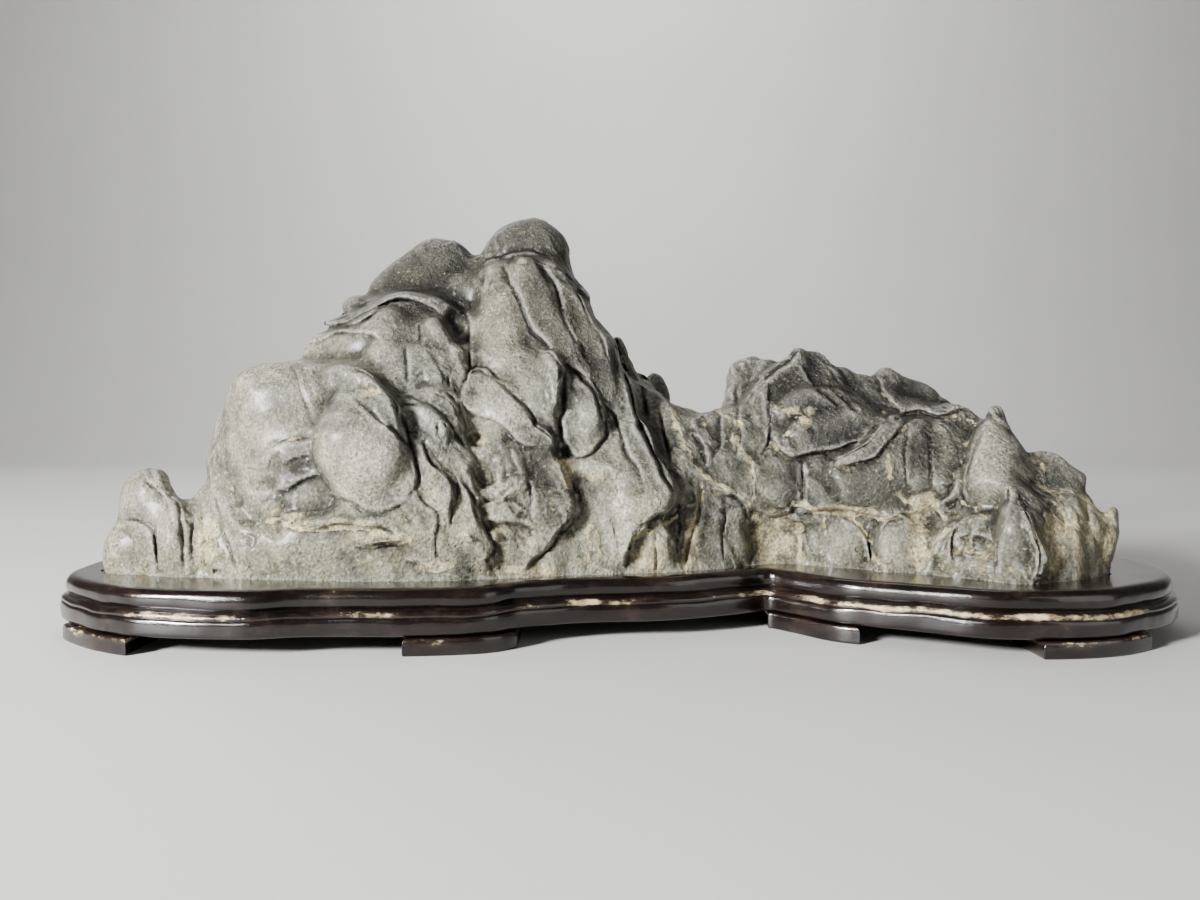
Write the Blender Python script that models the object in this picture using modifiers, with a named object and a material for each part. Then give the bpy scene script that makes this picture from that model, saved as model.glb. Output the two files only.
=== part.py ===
"""A scholar's rock, a mountain range of folded limestone, in the seat of its carved and lacquered stand.

The stone is one solid. It is laid out on a front elevation, as a sculptor draws one: x and z are read on the
plane y = ELEVATION_Y, and y is how far back that fold's crest lies. A fold is moved along the line from the
viewing point, so that it keeps its place in the front view at whatever depth it has. The numbers of the layout
are millimetres.
"""

import math

import bmesh
import bpy
import numpy as np
from mathutils import Matrix, Vector
from mathutils.bvhtree import BVHTree

MM = 0.001

# The stand, in millimetres above the table
FOOT_HEIGHT = 5.4
JOINT_GAP = 0.3
STAND_TOP = 20.4
SEAT_DEPTH = 2.0
SEAT_CLEARANCE = 0.7
SEAT_STATIONS = 70
OUTLINE_STEPS = 3
STONE_BOTTOM = STAND_TOP - SEAT_DEPTH + JOINT_GAP

# The front elevation
EYE = np.array([-8.0, -380.0, 72.0])
ELEVATION_Y = -30.0

# How finely the stone is cut: the grid of its skin, the share of its faces kept, and the rings of each fold
STONE_GRID = 1.5
STONE_KEPT = 0.036
RING_POINTS = 16
RINGS_PER_SPAN = 5
CAP_RINGS = 5
HEART_SEGMENTS = 32
HEART_RINGS = 18

# How deep a fold is rooted, and how far and how slowly it wanders from its drawn line
ROOT = 9.0
WANDER = 0.6
WANDER_LENGTH = 17.0

# The filling: the grid that it is read on, the gaps that it closes, in cells, and where it lies
FILL_STEP = 2.0
FILL_LEFT = -194
FILL_RIGHT = 184
FILL_LOW = 2
FILL_HIGH = 156
FILL_CELLS = 2.5
FILL_BEHIND = 0.9
FILL_THICK = 20
FILL_RIM_THICK = 5
FAR = 400.0

# The finishes: colour and roughness
STONE_FINISH = ((0.30, 0.29, 0.27, 1), 0.45)
LACQUER_FINISH = ((0.035, 0.018, 0.014, 1), 0.18)

# Each fold is a rounded ridge that runs through its points (x, z, y, half width). Bulge is how far it stands
# out, as a share of its half width; crest sharpens it below 2 and flattens it above; lean pushes the crest to
# one side.
FOLDS = [
    # --- the mass that the folds lie on
    ("slope_wall", 0.6, 2.3, 0, [(-84, 90, -20, 17), (-66, 90, -22, 19), (-52, 92, -18, 17)]),
    ("peak_wall", 0.6, 2.3, 0, [(-38, 84, -26, 20), (-22, 66, -32, 20), (-4, 52, -33, 20),
                                (18, 42, -28, 15)]),
    ("pass_wall", 0.6, 2.3, 0, [(-2, 74, -10, 13), (22, 62, -12, 14), (48, 66, -11, 15)]),
    ("range_wall", 0.6, 2.3, 0, [(58, 74, -5, 15), (84, 70, -6, 16), (104, 64, -12, 15),
                                 (120, 56, -22, 14)]),
    ("end_wall", 0.6, 2.3, 0, [(132, 44, -36, 14), (150, 40, -38, 14)]),
    ("toe_left", 0.7, 2.2, 0, [(-172, 13, -41, 8), (-150, 11, -49, 8), (-128, 11, -53, 9),
                               (-96, 11, -57, 9), (-64, 11, -56, 9), (-34, 12, -49, 9)]),
    ("toe_mid", 0.7, 2.2, 0, [(-30, 13, -46, 8), (-8, 14, -42, 8), (14, 15, -38, 8), (34, 17, -29, 8),
                              (52, 18, -16, 8)]),
    ("toe_right", 0.7, 2.2, 0, [(60, 16, -18, 8), (76, 14, -27, 8), (96, 12, -38, 8), (118, 10, -49, 8),
                                (142, 9, -62, 8), (164, 11, -50, 7)]),
    # --- the low outcrop at the left end
    ("outcrop", 0.9, 2.4, 0, [(-166.5, 45, -40, 10.5), (-164, 34, -43, 10.5), (-161, 18, -45, 11)]),
    ("outcrop_toe", 1.0, 2.2, 0, [(-174.5, 28, -41, 8.3), (-172, 18, -42, 9.5)]),
    ("outcrop_rib", 0.8, 1.8, 0, [(-159, 44, -42, 3.5), (-158, 32, -47, 4.5), (-157, 16, -49, 5)]),
    ("gully_1", 1.2, 1.6, 0, [(-153, 43, -36, 3), (-150, 32, -43, 2.4), (-149, 16, -47, 2.8)]),
    ("gully_2", 1.2, 1.6, 0, [(-148, 46, -33, 2.6), (-146.5, 33, -44, 2.4), (-145, 16, -49, 3)]),
    ("gully_3", 1.2, 1.6, 0, [(-145, 50, -30, 2.6), (-143, 36, -45, 2.4), (-140.5, 16, -51, 3)]),
    # --- the great boulder
    ("boulder", 0.92, 2.3, 0, [(-109.5, 57, -50, 36.5), (-108, 38, -51, 36)]),
    ("boulder_shoulder", 0.9, 2.2, 0, [(-123.8, 76.6, -42.5, 16.6), (-108, 77.6, -44, 15.6)]),
    ("boulder_edge", 0.8, 1.9, 0, [(-141.5, 60, -33, 3.5), (-141, 48, -41, 3.8), (-138, 34, -49, 3.6),
                                   (-134, 16, -53, 3.6)]),
    ("knob", 0.8, 2.3, 0, [(-94.5, 64.5, -61, 13.5), (-89, 57.8, -62.5, 16.2)]),
    ("shell_outer", 0.9, 1.6, 0.3, [(-100, 88, -43, 4), (-91, 86, -50, 4.6), (-84, 79, -55, 4.4),
                                    (-79.5, 69, -57, 3.6), (-77, 58, -57, 2.6)]),
    ("shell_inner", 0.9, 1.6, 0.3, [(-97, 81, -52, 3), (-90, 77, -57, 3.2), (-83, 70, -60, 2.6)]),
    ("under_knob", 0.9, 2.0, 0, [(-84, 41, -57, 4), (-77, 45, -58, 4.5), (-74, 51, -58, 3)]),
    ("neck", 0.7, 2.0, 0, [(-124, 46, -46, 4), (-106, 45, -50, 5), (-92, 41, -54, 4)]),
    ("plinth_left", 0.7, 2.8, 0, [(-132, 27, -52, 9.5), (-116, 25, -55, 11.5), (-98, 26, -56, 11),
                                  (-82, 25, -55, 11)]),
    ("bead_1", 1, 2, 0, [(-122, 41.5, -51, 2.6)]),
    ("bead_2", 1, 2, 0, [(-115.6, 37.6, -55.5, 2.0)]),
    ("bead_3", 1, 2, 0, [(-110.5, 36.8, -57, 2.6), (-107.5, 36.6, -57, 2.6)]),
    ("ledge_left", 0.9, 2, 0, [(-103.5, 37.0, -58, 2.3), (-92, 37.8, -58.5, 2.6), (-84, 36.8, -58, 2.4),
                               (-78, 33.5, -57, 1.4)]),
    ("bar_left", 0.8, 1.6, 0, [(-92, 29.6, -58.5, 0.9), (-85, 30, -58.5, 1.4), (-77.5, 30.2, -58, 1.5)]),
    ("sill_left", 0.8, 2.2, 0, [(-100, 20, -56.5, 4), (-88, 19, -57, 5), (-76, 18, -56, 5)]),
    # --- the slope between boulder and peak
    ("rear_dome", 0.9, 2.3, 0, [(-65, 123, 3, 13.5), (-76, 110, -2, 15)]),
    ("rear_knob", 1, 2, 0, [(-94, 112.3, -2, 5.2), (-90, 104, -6, 7)]),
    ("visor", 1.3, 1.5, 0.2, [(-104, 105.6, -15, 0.6), (-97, 108, -17, 1.7), (-88, 111.8, -18, 2.1),
                              (-80, 115.2, -18, 1.9), (-73.5, 116, -17.5, 1.8), (-67, 114.4, -17, 2.2),
                              (-61, 110.2, -16, 2.8), (-57, 104.5, -14, 2.8)]),
    ("cheek", 0.9, 2.4, 0, [(-108, 98.3, -17, 4.6), (-98, 96.5, -24, 9), (-82.5, 100, -28, 13)]),
    ("cheek_low", 0.9, 2.3, 0, [(-82, 93, -35, 8.5), (-79, 84, -41, 6.5)]),
    ("sliver", 1.1, 1.6, 0, [(-72.6, 97.5, -33, 2.0), (-72.4, 89, -38, 2.3)]),
    ("nub_1", 1, 2, 0, [(-66.8, 104.6, -29, 3.6), (-63.4, 100, -31, 3.8)]),
    ("scale_1", 0.9, 1.9, 0.4, [(-69, 95, -35, 3.4), (-66.5, 88, -40, 4.6), (-65, 83, -41, 4.2)]),
    ("scale_2", 0.8, 2.0, 0, [(-58.6, 96, -33, 3.6), (-57.5, 88, -36, 3.6), (-56.5, 79, -39, 2.6)]),
    ("scale_3", 0.9, 2.0, 0.3, [(-72, 81, -43, 4.2), (-66, 80, -45, 4.2), (-61, 76.5, -45, 3.2)]),
    ("scale_4", 0.9, 2.0, 0.4, [(-74, 75.5, -48, 3.6), (-69, 72.5, -50, 5), (-65.5, 66, -51, 4)]),
    ("lens", 0.8, 1.8, 0, [(-64.2, 70.5, -51, 1.8), (-63.6, 65, -52, 2.2), (-64.6, 60, -52, 1.6)]),
    ("scale_5", 0.8, 2.0, 0.3, [(-60, 70.5, -46, 2.6), (-57.5, 64, -47, 3), (-54, 58, -48, 2.8)]),
    ("fold_1", 0.8, 2.1, 0.5, [(-73, 66, -52, 2.6), (-70.5, 57, -55, 5.5), (-65.5, 48, -57, 7.4),
                               (-66.5, 40, -57, 6)]),
    ("fold_2", 0.8, 2.1, 0.5, [(-62, 62, -49, 3.5), (-58, 54, -52, 5), (-56, 44, -54, 4.6),
                               (-55, 35, -55.5, 6.5), (-53, 24, -55, 7.6)]),
    ("fold_3", 0.8, 2.2, 0, [(-72, 36, -57.5, 4), (-70, 26, -56.5, 6), (-69, 17, -56, 7)]),
    ("fold_4", 0.8, 2.0, 0.2, [(-64, 34, -56, 3.6), (-62.5, 26, -56.5, 4.6), (-63, 17, -56, 6)]),
    ("col", 0.7, 2.2, 0, [(-56, 116, -2, 8), (-46, 116, -5, 8)]),
    # --- the peak
    ("cap", 0.85, 2.2, 0, [(-33.4, 126.6, -3, 16.4), (-33, 112, -6, 18.5)]),
    ("buttress", 0.85, 2.0, 0.35, [(-44, 123, -10, 3.6), (-43.2, 114, -17, 7.4), (-42, 104, -23, 10.5),
                                   (-42, 95, -27, 11.5)]),
    ("rib_1", 0.8, 2.2, 0, [(-34.4, 124, -14.5, 6.2), (-31, 115, -18, 8.2), (-26, 104, -22.5, 8),
                            (-20.5, 95.5, -27, 6.6), (-14, 89, -29, 4)]),
    ("rib_2", 0.7, 2.0, 0, [(-25, 123, -11, 5.5), (-19, 112, -14.5, 6.5), (-13.5, 101, -19.5, 7),
                            (-9, 91, -24.5, 6.2), (-6, 82, -28, 4)]),
    ("rib_3", 0.75, 2.0, 0, [(-20.5, 120, -5.5, 5), (-14.4, 109, -9.5, 5.6), (-8, 97, -14.5, 5.8),
                             (-3.8, 86, -21, 5.6), (1.2, 73, -28, 5.4), (6, 62, -34, 5.6),
                             (10.4, 53, -39, 6.2), (12.6, 46, -43, 6.8)]),
    ("spur_toe", 0.9, 1.9, 0, [(13, 43.6, -43, 5.6), (6, 41, -43.5, 5.6), (2.4, 36, -43.5, 3.4),
                               (1.6, 28, -43, 2.4)]),
    ("rib_4", 0.9, 1.8, 0, [(-7, 77, -28, 1.8), (-4.4, 68, -32, 2.4), (-1.6, 59, -37, 3.4),
                            (1.6, 50, -41, 4.6)]),
    ("leaf", 0.75, 2.0, -0.2, [(-50.5, 84.5, -36, 5), (-45.5, 79.5, -39.5, 7.8), (-38.5, 72.4, -42, 6.8),
                               (-31.5, 67.5, -43.5, 4.2), (-24.5, 65.6, -43.5, 2.2)]),
    ("slab_mid", 0.7, 2.1, 0, [(-44, 93, -29, 7), (-36.5, 87.5, -33, 7.6), (-30.5, 79.5, -37, 5),
                               (-26.6, 72, -39.5, 2.8)]),
    ("blade", 1.3, 1.7, 0.4, [(-25.4, 94.4, -35, 2.6), (-24.3, 86, -39, 2.5), (-23, 78.5, -40.5, 1.1)]),
    ("almond", 0.9, 2.0, 0.2, [(-14.6, 84.6, -32, 4.2), (-12.2, 75.5, -36, 6), (-13, 66.8, -37, 5)]),
    ("brow", 0.9, 1.9, 0, [(-17.4, 55.8, -38, 2), (-9.6, 56.6, -40, 2.5), (-2.6, 55.4, -40, 2.2)]),
    ("drape_1", 0.7, 2.0, 0, [(-13.4, 50.6, -38, 5), (-12.8, 42, -40, 4.2), (-11.6, 31, -42, 3.4),
                              (-10.6, 18, -43, 4)]),
    ("drape_2", 0.7, 2.0, 0, [(-5.6, 50, -38.5, 5), (-5.4, 40, -40, 4.6), (-5.2, 28, -41, 3.4),
                              (-5, 18, -42, 4)]),
    ("drape_3", 0.7, 1.8, 0, [(-0.4, 44, -41, 2.4), (-1.6, 34, -41.5, 2.2), (-1, 26, -41, 2)]),
    ("crag_1", 0.9, 1.8, 0, [(-24, 58, -43, 2.2), (-23, 51, -45, 3.8), (-21, 44, -47.5, 5),
                             (-20.4, 39.6, -48, 3.8)]),
    ("crag_2", 0.8, 1.8, 0, [(-29.6, 51, -44, 3), (-28, 44.6, -47, 4.2), (-27.6, 38.6, -47.5, 3.6)]),
    ("crag_3", 0.9, 1.8, 0, [(-19.4, 37.2, -47, 2.2), (-26, 33, -48, 3.2), (-33.5, 26.4, -48.5, 3),
                             (-37, 18, -48, 3)]),
    ("crag_4", 0.8, 2.0, 0, [(-21.2, 30.6, -45, 2.6), (-24, 25, -46, 4), (-26, 17, -46, 5)]),
    ("crag_5", 0.8, 2.0, 0, [(-17, 30, -43, 2.6), (-16.4, 22, -44, 3.6), (-16, 16, -44, 4)]),
    ("lump_1", 0.7, 2.2, 0, [(-47, 60, -45, 5.6), (-41, 57.4, -47, 7), (-37, 53, -47, 5)]),
    ("lump_2", 0.8, 1.8, 0, [(-50, 44.6, -49, 2), (-43, 46.8, -50, 2.4), (-36, 50, -49, 1.8)]),
    ("lump_3", 0.7, 2.0, 0, [(-47, 39.6, -50, 3.6), (-41, 41, -49.5, 4.4), (-36.4, 42, -48, 3.6)]),
    ("lump_4", 0.8, 2.2, 0, [(-42.6, 31.6, -50, 5.4), (-41.6, 24, -49.5, 5.6), (-42, 16, -49, 6)]),
    ("pearl_1", 1, 2, 0, [(-44.6, 32.6, -53.5, 1.7)]),
    ("pearl_2", 1, 2, 0, [(-50, 45, -54, 1.0)]),
    ("pearl_3", 1, 2, 0, [(-53.6, 30.6, -60.5, 1.0)]),
    # --- behind the peak's right flank
    ("hind_1", 1.2, 1.8, 0, [(-3.4, 101, 4, 2.5), (1.2, 92, 4, 3.2), (3, 80, -1, 3.6), (5, 66, -8, 4.5)]),
    ("hind_2", 1.2, 1.8, 0, [(6.4, 87, 12, 2.6), (8, 78, 8, 3.4), (8, 68, 2, 4)]),
    ("hind_3", 1.2, 1.8, 0, [(11, 87.4, 21, 3), (13.6, 80, 17, 3.4), (14, 70, 8, 4.5)]),
    # --- the pass between the peaks
    ("fin_1", 1.3, 1.7, 0, [(11.2, 74, -14, 2.4), (11.4, 67, -20, 2.3), (13, 60.6, -26, 1.5)]),
    ("fin_2", 1.1, 1.8, 0, [(15.6, 75.6, -12, 2.8), (18, 66, -19, 2.9), (19, 58.6, -25, 2.6)]),
    ("fin_3", 0.8, 2.0, 0, [(20.4, 57.6, -27, 3.4), (21.4, 50.4, -30, 4.4), (23, 46, -31, 3)]),
    ("pass_knob", 1, 2, 0, [(22.2, 76.6, -6, 1.9)]),
    ("vein_1", 1.2, 2, 0, [(18.8, 74, -14, 0.6), (20.4, 67, -19, 0.9), (22.6, 61, -23, 0.9),
                           (25.6, 55.6, -26, 0.9), (29.6, 51.4, -27, 1.0), (36, 48.6, -27, 1.0),
                           (41.4, 46.2, -26, 0.9), (44.6, 42.6, -24, 0.9), (48.6, 38, -20, 0.8),
                           (54, 36, -16, 0.7)]),
    ("vein_2", 1.2, 2, 0, [(28.4, 50, -27, 0.8), (26.4, 43, -28, 1.0), (25.4, 35, -29, 1.2),
                           (22.4, 27, -31, 1.6), (20.8, 17, -31, 2.2)]),
    ("vein_3", 1.2, 2, 0, [(38.8, 67.4, -19, 0.7), (41.6, 61.6, -22, 0.9), (45.2, 58, -23, 0.8),
                           (45.4, 51, -25, 0.9), (44.2, 45, -25, 0.8)]),
    ("cobble_1", 0.9, 1.9, 0, [(24.6, 66, -20, 2.8), (26.6, 60.6, -23, 2.6)]),
    ("cobble_2", 0.9, 1.9, 0, [(31.4, 71.6, -16, 3.2), (31, 66, -20, 3.2)]),
    ("cobble_3", 0.9, 2.0, 0, [(36, 58.6, -23, 5.4), (36.4, 53, -25, 4.6)]),
    ("cobble_4", 0.9, 1.9, 0, [(37, 74.6, -15, 2.2), (41.4, 71.4, -17, 2.8)]),
    ("cobble_5", 0.9, 1.9, 0, [(45.8, 79.6, -12, 3.6), (47.6, 72, -16, 3.4), (46.6, 64, -20, 3.6)]),
    ("cobble_6", 0.9, 1.9, 0, [(40.6, 65, -19, 2.4), (43, 62, -21, 2)]),
    ("cobble_7", 0.8, 1.8, 0, [(28.4, 73.6, -13, 2.2), (25, 71.6, -15, 2.2)]),
    ("pass_foot_1", 0.7, 2.1, 0, [(31.6, 44.6, -27, 3.6), (31, 33, -28, 5), (31, 17, -28, 6)]),
    ("pass_foot_2", 0.7, 2.1, 0, [(37.6, 40, -25, 3.6), (38.6, 30, -24, 5), (39, 17, -23, 6.5)]),
    ("pass_foot_3", 0.9, 1.8, 0, [(24, 34, -30, 2), (24, 26, -31, 2.4), (25, 16, -31, 3)]),
    ("pass_foot_4", 0.8, 2.0, 0, [(14.6, 31, -40, 3.2), (14.6, 24, -38, 4), (15, 16, -37, 5)]),
    ("pass_foot_5", 0.8, 2.0, 0, [(7, 33, -38, 2.6), (8.4, 24, -38, 4), (8, 16, -38, 5)]),
    # --- the right range
    ("bowl_lump", 0.75, 2.1, 0, [(54.6, 54.6, -23, 7), (54.4, 48.8, -26, 8.2)]),
    ("web_1", 1.1, 1.7, 0, [(47.6, 35, -17, 1.4), (49, 24, -15, 1.8), (49, 16, -15, 2)]),
    ("web_2", 1.1, 1.7, 0, [(54.6, 35, -14, 1.6), (53.8, 26, -13, 1.8), (54, 16, -13, 2)]),
    ("web_3", 1.1, 1.7, 0, [(60, 37, -17, 1.8), (60.8, 28, -16, 2), (62, 16, -16, 2.6)]),
    ("rear_shell", 0.9, 2.2, 0, [(45, 87.6, 3, 8), (43, 78, -4, 8)]),
    ("rear_shell_2", 0.9, 2.1, 0, [(50.6, 89.6, -3, 6), (48.6, 82, -8, 6)]),
    ("summit", 1.0, 1.7, 0, [(61, 96.2, -3, 3), (61, 89, -8, 6.4), (61.4, 80, -13, 8.6)]),
    ("summit_skirt", 0.7, 2.2, 0, [(56, 74, -17.5, 6), (64, 77, -17, 7.5), (72, 78, -14.5, 7),
                                   (79, 77.5, -12, 5)]),
    ("summit_west", 0.9, 1.7, 0, [(58, 93.6, -5, 2.4), (52.6, 88.4, -9, 3), (49, 82, -13, 3),
                                  (50.6, 72, -17, 2.4), (52.6, 66, -20, 1.8)]),
    ("summit_east", 0.9, 1.9, 0, [(66.4, 92.6, -1, 4.2), (70.6, 86, -6, 4.8), (75, 79, -11, 4.4),
                                  (78, 74, -14, 4)]),
    ("shoulder_1", 0.9, 2.0, 0, [(76, 85.6, -1, 4.8), (80.6, 79.6, -7, 4.4), (85.6, 73.6, -12, 3)]),
    ("shoulder_2", 0.9, 2.1, 0, [(84, 84, 0, 5), (89, 78.6, -4, 4.6), (93, 74.6, -7, 3.4)]),
    ("fold_east", 0.85, 2.1, 0.2, [(59.6, 63.6, -21, 3.2), (66, 68, -20, 6.4), (74, 71.4, -18, 7.6),
                                   (82, 73, -16, 5)]),
    ("strip_east", 0.75, 2.5, 0, [(75, 58.4, -25.5, 1.4), (81, 60.2, -26, 2.4), (86.5, 63, -25.5, 3),
                                  (90.6, 67, -22.5, 3.4), (94, 71.2, -18.5, 3.8)]),
    ("saddle", 0.7, 2.4, 0, [(80.6, 49.6, -27, 7.6), (90, 51, -28, 9.4), (96.6, 58, -26, 8),
                             (101, 66, -20, 6)]),
    ("ledge_east", 0.8, 2.0, 0, [(56, 39.6, -20, 3), (63.5, 39.8, -22.5, 3.6), (70, 40.4, -24.5, 3.2)]),
    ("block_1", 0.8, 2.3, 0, [(68.2, 55.6, -22, 3), (69, 47.6, -25, 4)]),
    ("slab_east", 0.7, 2.3, 0, [(103.4, 69, -18, 4.8), (103, 60, -24, 4.6), (104, 52, -29, 4)]),
    ("petal", 0.8, 2.1, 0.3, [(112.6, 68, -18, 4), (113, 59, -24, 5), (112.6, 50.6, -30, 3.6)]),
    ("crest_knob", 1, 2.0, 0, [(91, 88.6, 3, 3.2), (93.4, 86.4, 1, 3.6)]),
    ("crest_slab", 0.9, 2.2, 0, [(96.6, 82.6, 2, 6.6), (105, 79.6, 0, 6), (112.4, 75.6, -3, 4.2)]),
    ("crest_shell", 1.0, 1.8, 0, [(108, 75, -9, 1.6), (114, 76.6, -10, 2.2), (119.4, 76, -11, 2.4),
                                  (123, 72.6, -12, 1.8)]),
    ("crest_low", 0.8, 2.0, 0, [(118, 70.6, -13, 3.6), (117.6, 64, -18, 3)]),
    ("fang", 0.85, 1.9, 0.1, [(129.6, 72.7, -26, 4.2), (129.6, 69.5, -29, 6.6), (130.2, 65, -33, 8.8),
                              (131.2, 59, -38, 11), (132.6, 51.5, -44, 13.2)]),
    ("fang_rear", 0.9, 2.0, 0, [(145.6, 58.4, -30, 3.4), (152, 55.4, -33, 4.6), (157.4, 51.4, -36, 4.8),
                                (156.4, 46, -41, 5)]),
    ("tusk", 0.9, 1.7, -0.2, [(136.6, 49, -54, 3), (138.4, 43, -58, 6.6), (140.4, 34, -62, 9),
                              (141.6, 16, -63, 10)]),
    ("tusk_ridge", 1.0, 1.7, 0, [(141, 41, -61, 1.2), (144, 34, -65, 1.6), (146.6, 27, -66.5, 1.8),
                                 (147, 18, -66.5, 2.4)]),
    ("cheek_east", 0.8, 2.1, 0, [(149, 41, -49, 5), (150, 31, -55, 6.6), (150.6, 17, -59, 8)]),
    ("horn", 1.0, 1.8, 0, [(158, 44, -46, 2.6), (159, 35, -52, 4), (158.4, 18, -56, 5)]),
    ("end_fin_1", 1.2, 1.7, 0, [(164.2, 44.8, -38, 2.4), (165, 35, -45, 2.8), (164.6, 16, -50, 3.2)]),
    ("end_fin_2", 1.2, 1.7, 0, [(171.4, 41.6, -36, 1.9), (170.8, 31, -41, 2.9), (168, 16, -45, 3.6)]),
    ("end_fin_3", 1.2, 1.7, 0, [(169.6, 28, -27, 2.4), (167, 16, -32, 3.6)]),
    ("panel_1", 0.6, 2.8, 0, [(71.6, 29, -21, 8), (77, 28.6, -24, 8.6), (79, 16, -27, 9)]),
    ("panel_2", 0.6, 2.4, 0, [(96.4, 33, -32, 6.6), (97, 24, -36, 7.6), (97, 15, -38, 8)]),
    ("panel_rib", 1.0, 1.8, 0, [(113, 35, -39, 1.2), (110.4, 29, -41, 1.4), (107.4, 22, -42, 1.7),
                                (106, 15, -43, 2)]),
    ("panel_3", 0.7, 2.4, 0, [(118.6, 34, -43, 4), (119, 24, -47, 5.6), (119, 15, -49, 6)]),
    ("panel_4", 0.7, 2.6, 0, [(125.6, 36, -46, 4), (126, 30, -50, 4.6)]),
    ("panel_5", 0.7, 2.8, 0, [(124, 20.6, -54, 3.6), (129.6, 20.6, -57, 3.8)]),
    ("tooth", 0.9, 2.0, 0, [(132, 27.6, -57, 1.8), (133.6, 22, -60, 3), (134.6, 15, -61, 3.6)]),
]

# The heart of the stone, behind the folds: its parts' centres and half sizes, at their real places
HEARTS = [
    ((-163, -26, 20), (12, 12, 20)),
    ((-112, -12, 34), (32, 28, 38)),
    ((-82, 4, 54), (28, 30, 46)),
    ((-38, 8, 54), (34, 34, 66)),
    ((18, 14, 26), (38, 30, 36)),
    ((72, 18, 38), (34, 30, 40)),
    ((120, -2, 26), (32, 28, 32)),
    ((148, -28, 20), (16, 18, 22)),
]

# The masses of the back: runs of (x, z, depth counted from behind, half width)
BACK_MASSES = [
    [(-160, 20, 8, 16), (-130, 28, -12, 24), (-100, 34, -28, 29), (-60, 36, -42, 32), (-20, 34, -46, 29)],
    [(-24, 30, -46, 27), (20, 30, -44, 27), (64, 32, -42, 30), (100, 28, -30, 27), (132, 22, -8, 21),
     (154, 16, 10, 14)],
    [(-126, 60, -8, 20), (-98, 76, -20, 22), (-78, 94, -24, 22), (-68, 110, -24, 17)],
    [(-40, 78, -34, 28), (-36, 104, -26, 23), (-33, 121, -18, 17)],
    [(2, 52, -26, 17), (36, 52, -24, 18), (62, 66, -24, 20), (92, 62, -20, 18), (120, 50, -8, 15),
     (142, 38, 10, 12)],
]

# Where along x the back has ridges, how low they reach, and how far behind the back it is looked at
BACK_LEFT = -170
BACK_RIGHT = 166
BACK_FOOT = 12
BACK_SIGHT = 300

# The ridges that run down the back, from the widest: how far apart, and how far each stands out
BACK_RIDGES = [(15.0, 3.2), (8.0, 2.0), (5.5, 1.2)]

# The stand's outline seen from above (x, y), from its left end along the front, and back along the rear
OUTLINE = [(-195, -22), (-191.5, -38), (-184, -49), (-173.5, -59), (-164, -66), (-149, -73), (-117, -77),
           (-100, -73.5), (-69, -73), (-45, -69), (-34, -60), (-21, -54), (-8, -50.5), (12, -48),
           (26, -43), (40, -36), (51, -30), (60, -39), (70, -52), (82, -59), (93, -65), (108, -74),
           (119, -77), (138, -76), (152, -72), (165, -64), (177, -55), (185.5, -44), (192.5, -28),
           (195, -8), (191.5, 16), (180, 38), (160, 55), (128, 67), (80, 74), (20, 77), (-40, 75),
           (-96, 69), (-140, 57), (-169, 41), (-187.5, 18), (-195.5, -4)]

# Its mouldings: how far each line stands out from the outline, and its height
MOULDING = [(-1.5, 5.7), (1.2, 5.7), (2.0, 6.6), (2.1, 11.6), (1.2, 13.3), (-0.6, 13.9), (0.1, 15.2),
            (0.3, 17.6), (-0.5, 19.5), (-2.6, 20.4)]

# The feet: whether at the front, and where each begins and ends along x
FEET = {
    "foot_front_left": (True, -187, -150),
    "foot_front_mid_left": (True, -70, -33),
    "foot_front_mid_right": (True, 50, 78),
    "foot_front_right": (True, 123, 167),
    "foot_back_left": (False, -166, -128),
    "foot_back_middle": (False, -22, 22),
    "foot_back_right": (False, 126, 162),
}
FOOT_OUTSET = 3.0
FOOT_DEPTH = 24.0
FOOT_ROUNDING = 0.9


def in_front_view(x, z, y):
    """The world points at depth y that show at (x, z) of the front elevation."""
    on_plane = np.stack([x, np.full_like(x, ELEVATION_Y), z], axis=-1)
    reach = (y - EYE[1]) / (ELEVATION_Y - EYE[1])
    return EYE + (on_plane - EYE) * reach[:, None]


def in_back_view(x, z, y):
    """The world points of a ridge of the back, whose depth is counted from behind."""
    return np.stack([x, -y, z], axis=-1)


def smooth_run(points, steps):
    """A smooth run through the points, with so many steps from each to the next."""
    points = np.array(points, float)
    ends = np.vstack([2 * points[0] - points[1], points, 2 * points[-1] - points[-2]])
    t = np.arange(steps)[:, None] / steps
    run = []
    for a, b, c, d in zip(ends, ends[1:], ends[2:], ends[3:]):
        bend = (2 * a - 5 * b + 4 * c - d) * t**2
        turn = (3 * b - a - 3 * c + d) * t**3
        run.append(b + ((c - a) * t + bend + turn) / 2)
    return np.vstack(run + [points[-1:]])


def signed_power(values, power):
    return np.sign(values) * np.abs(values) ** power


def wander(x, z, length, seed):
    """A smooth random field of about unit size: a few plane waves of nearly this wavelength."""
    rng = np.random.default_rng(seed)
    total = np.zeros_like(x)
    for _ in range(7):
        heading = rng.uniform(0, math.tau)
        wave = math.tau / (length * rng.uniform(0.6, 1.6))
        total += np.sin(wave * (x * math.cos(heading) + z * math.sin(heading)) + rng.uniform(0, math.tau))
    return total / 2


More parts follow.
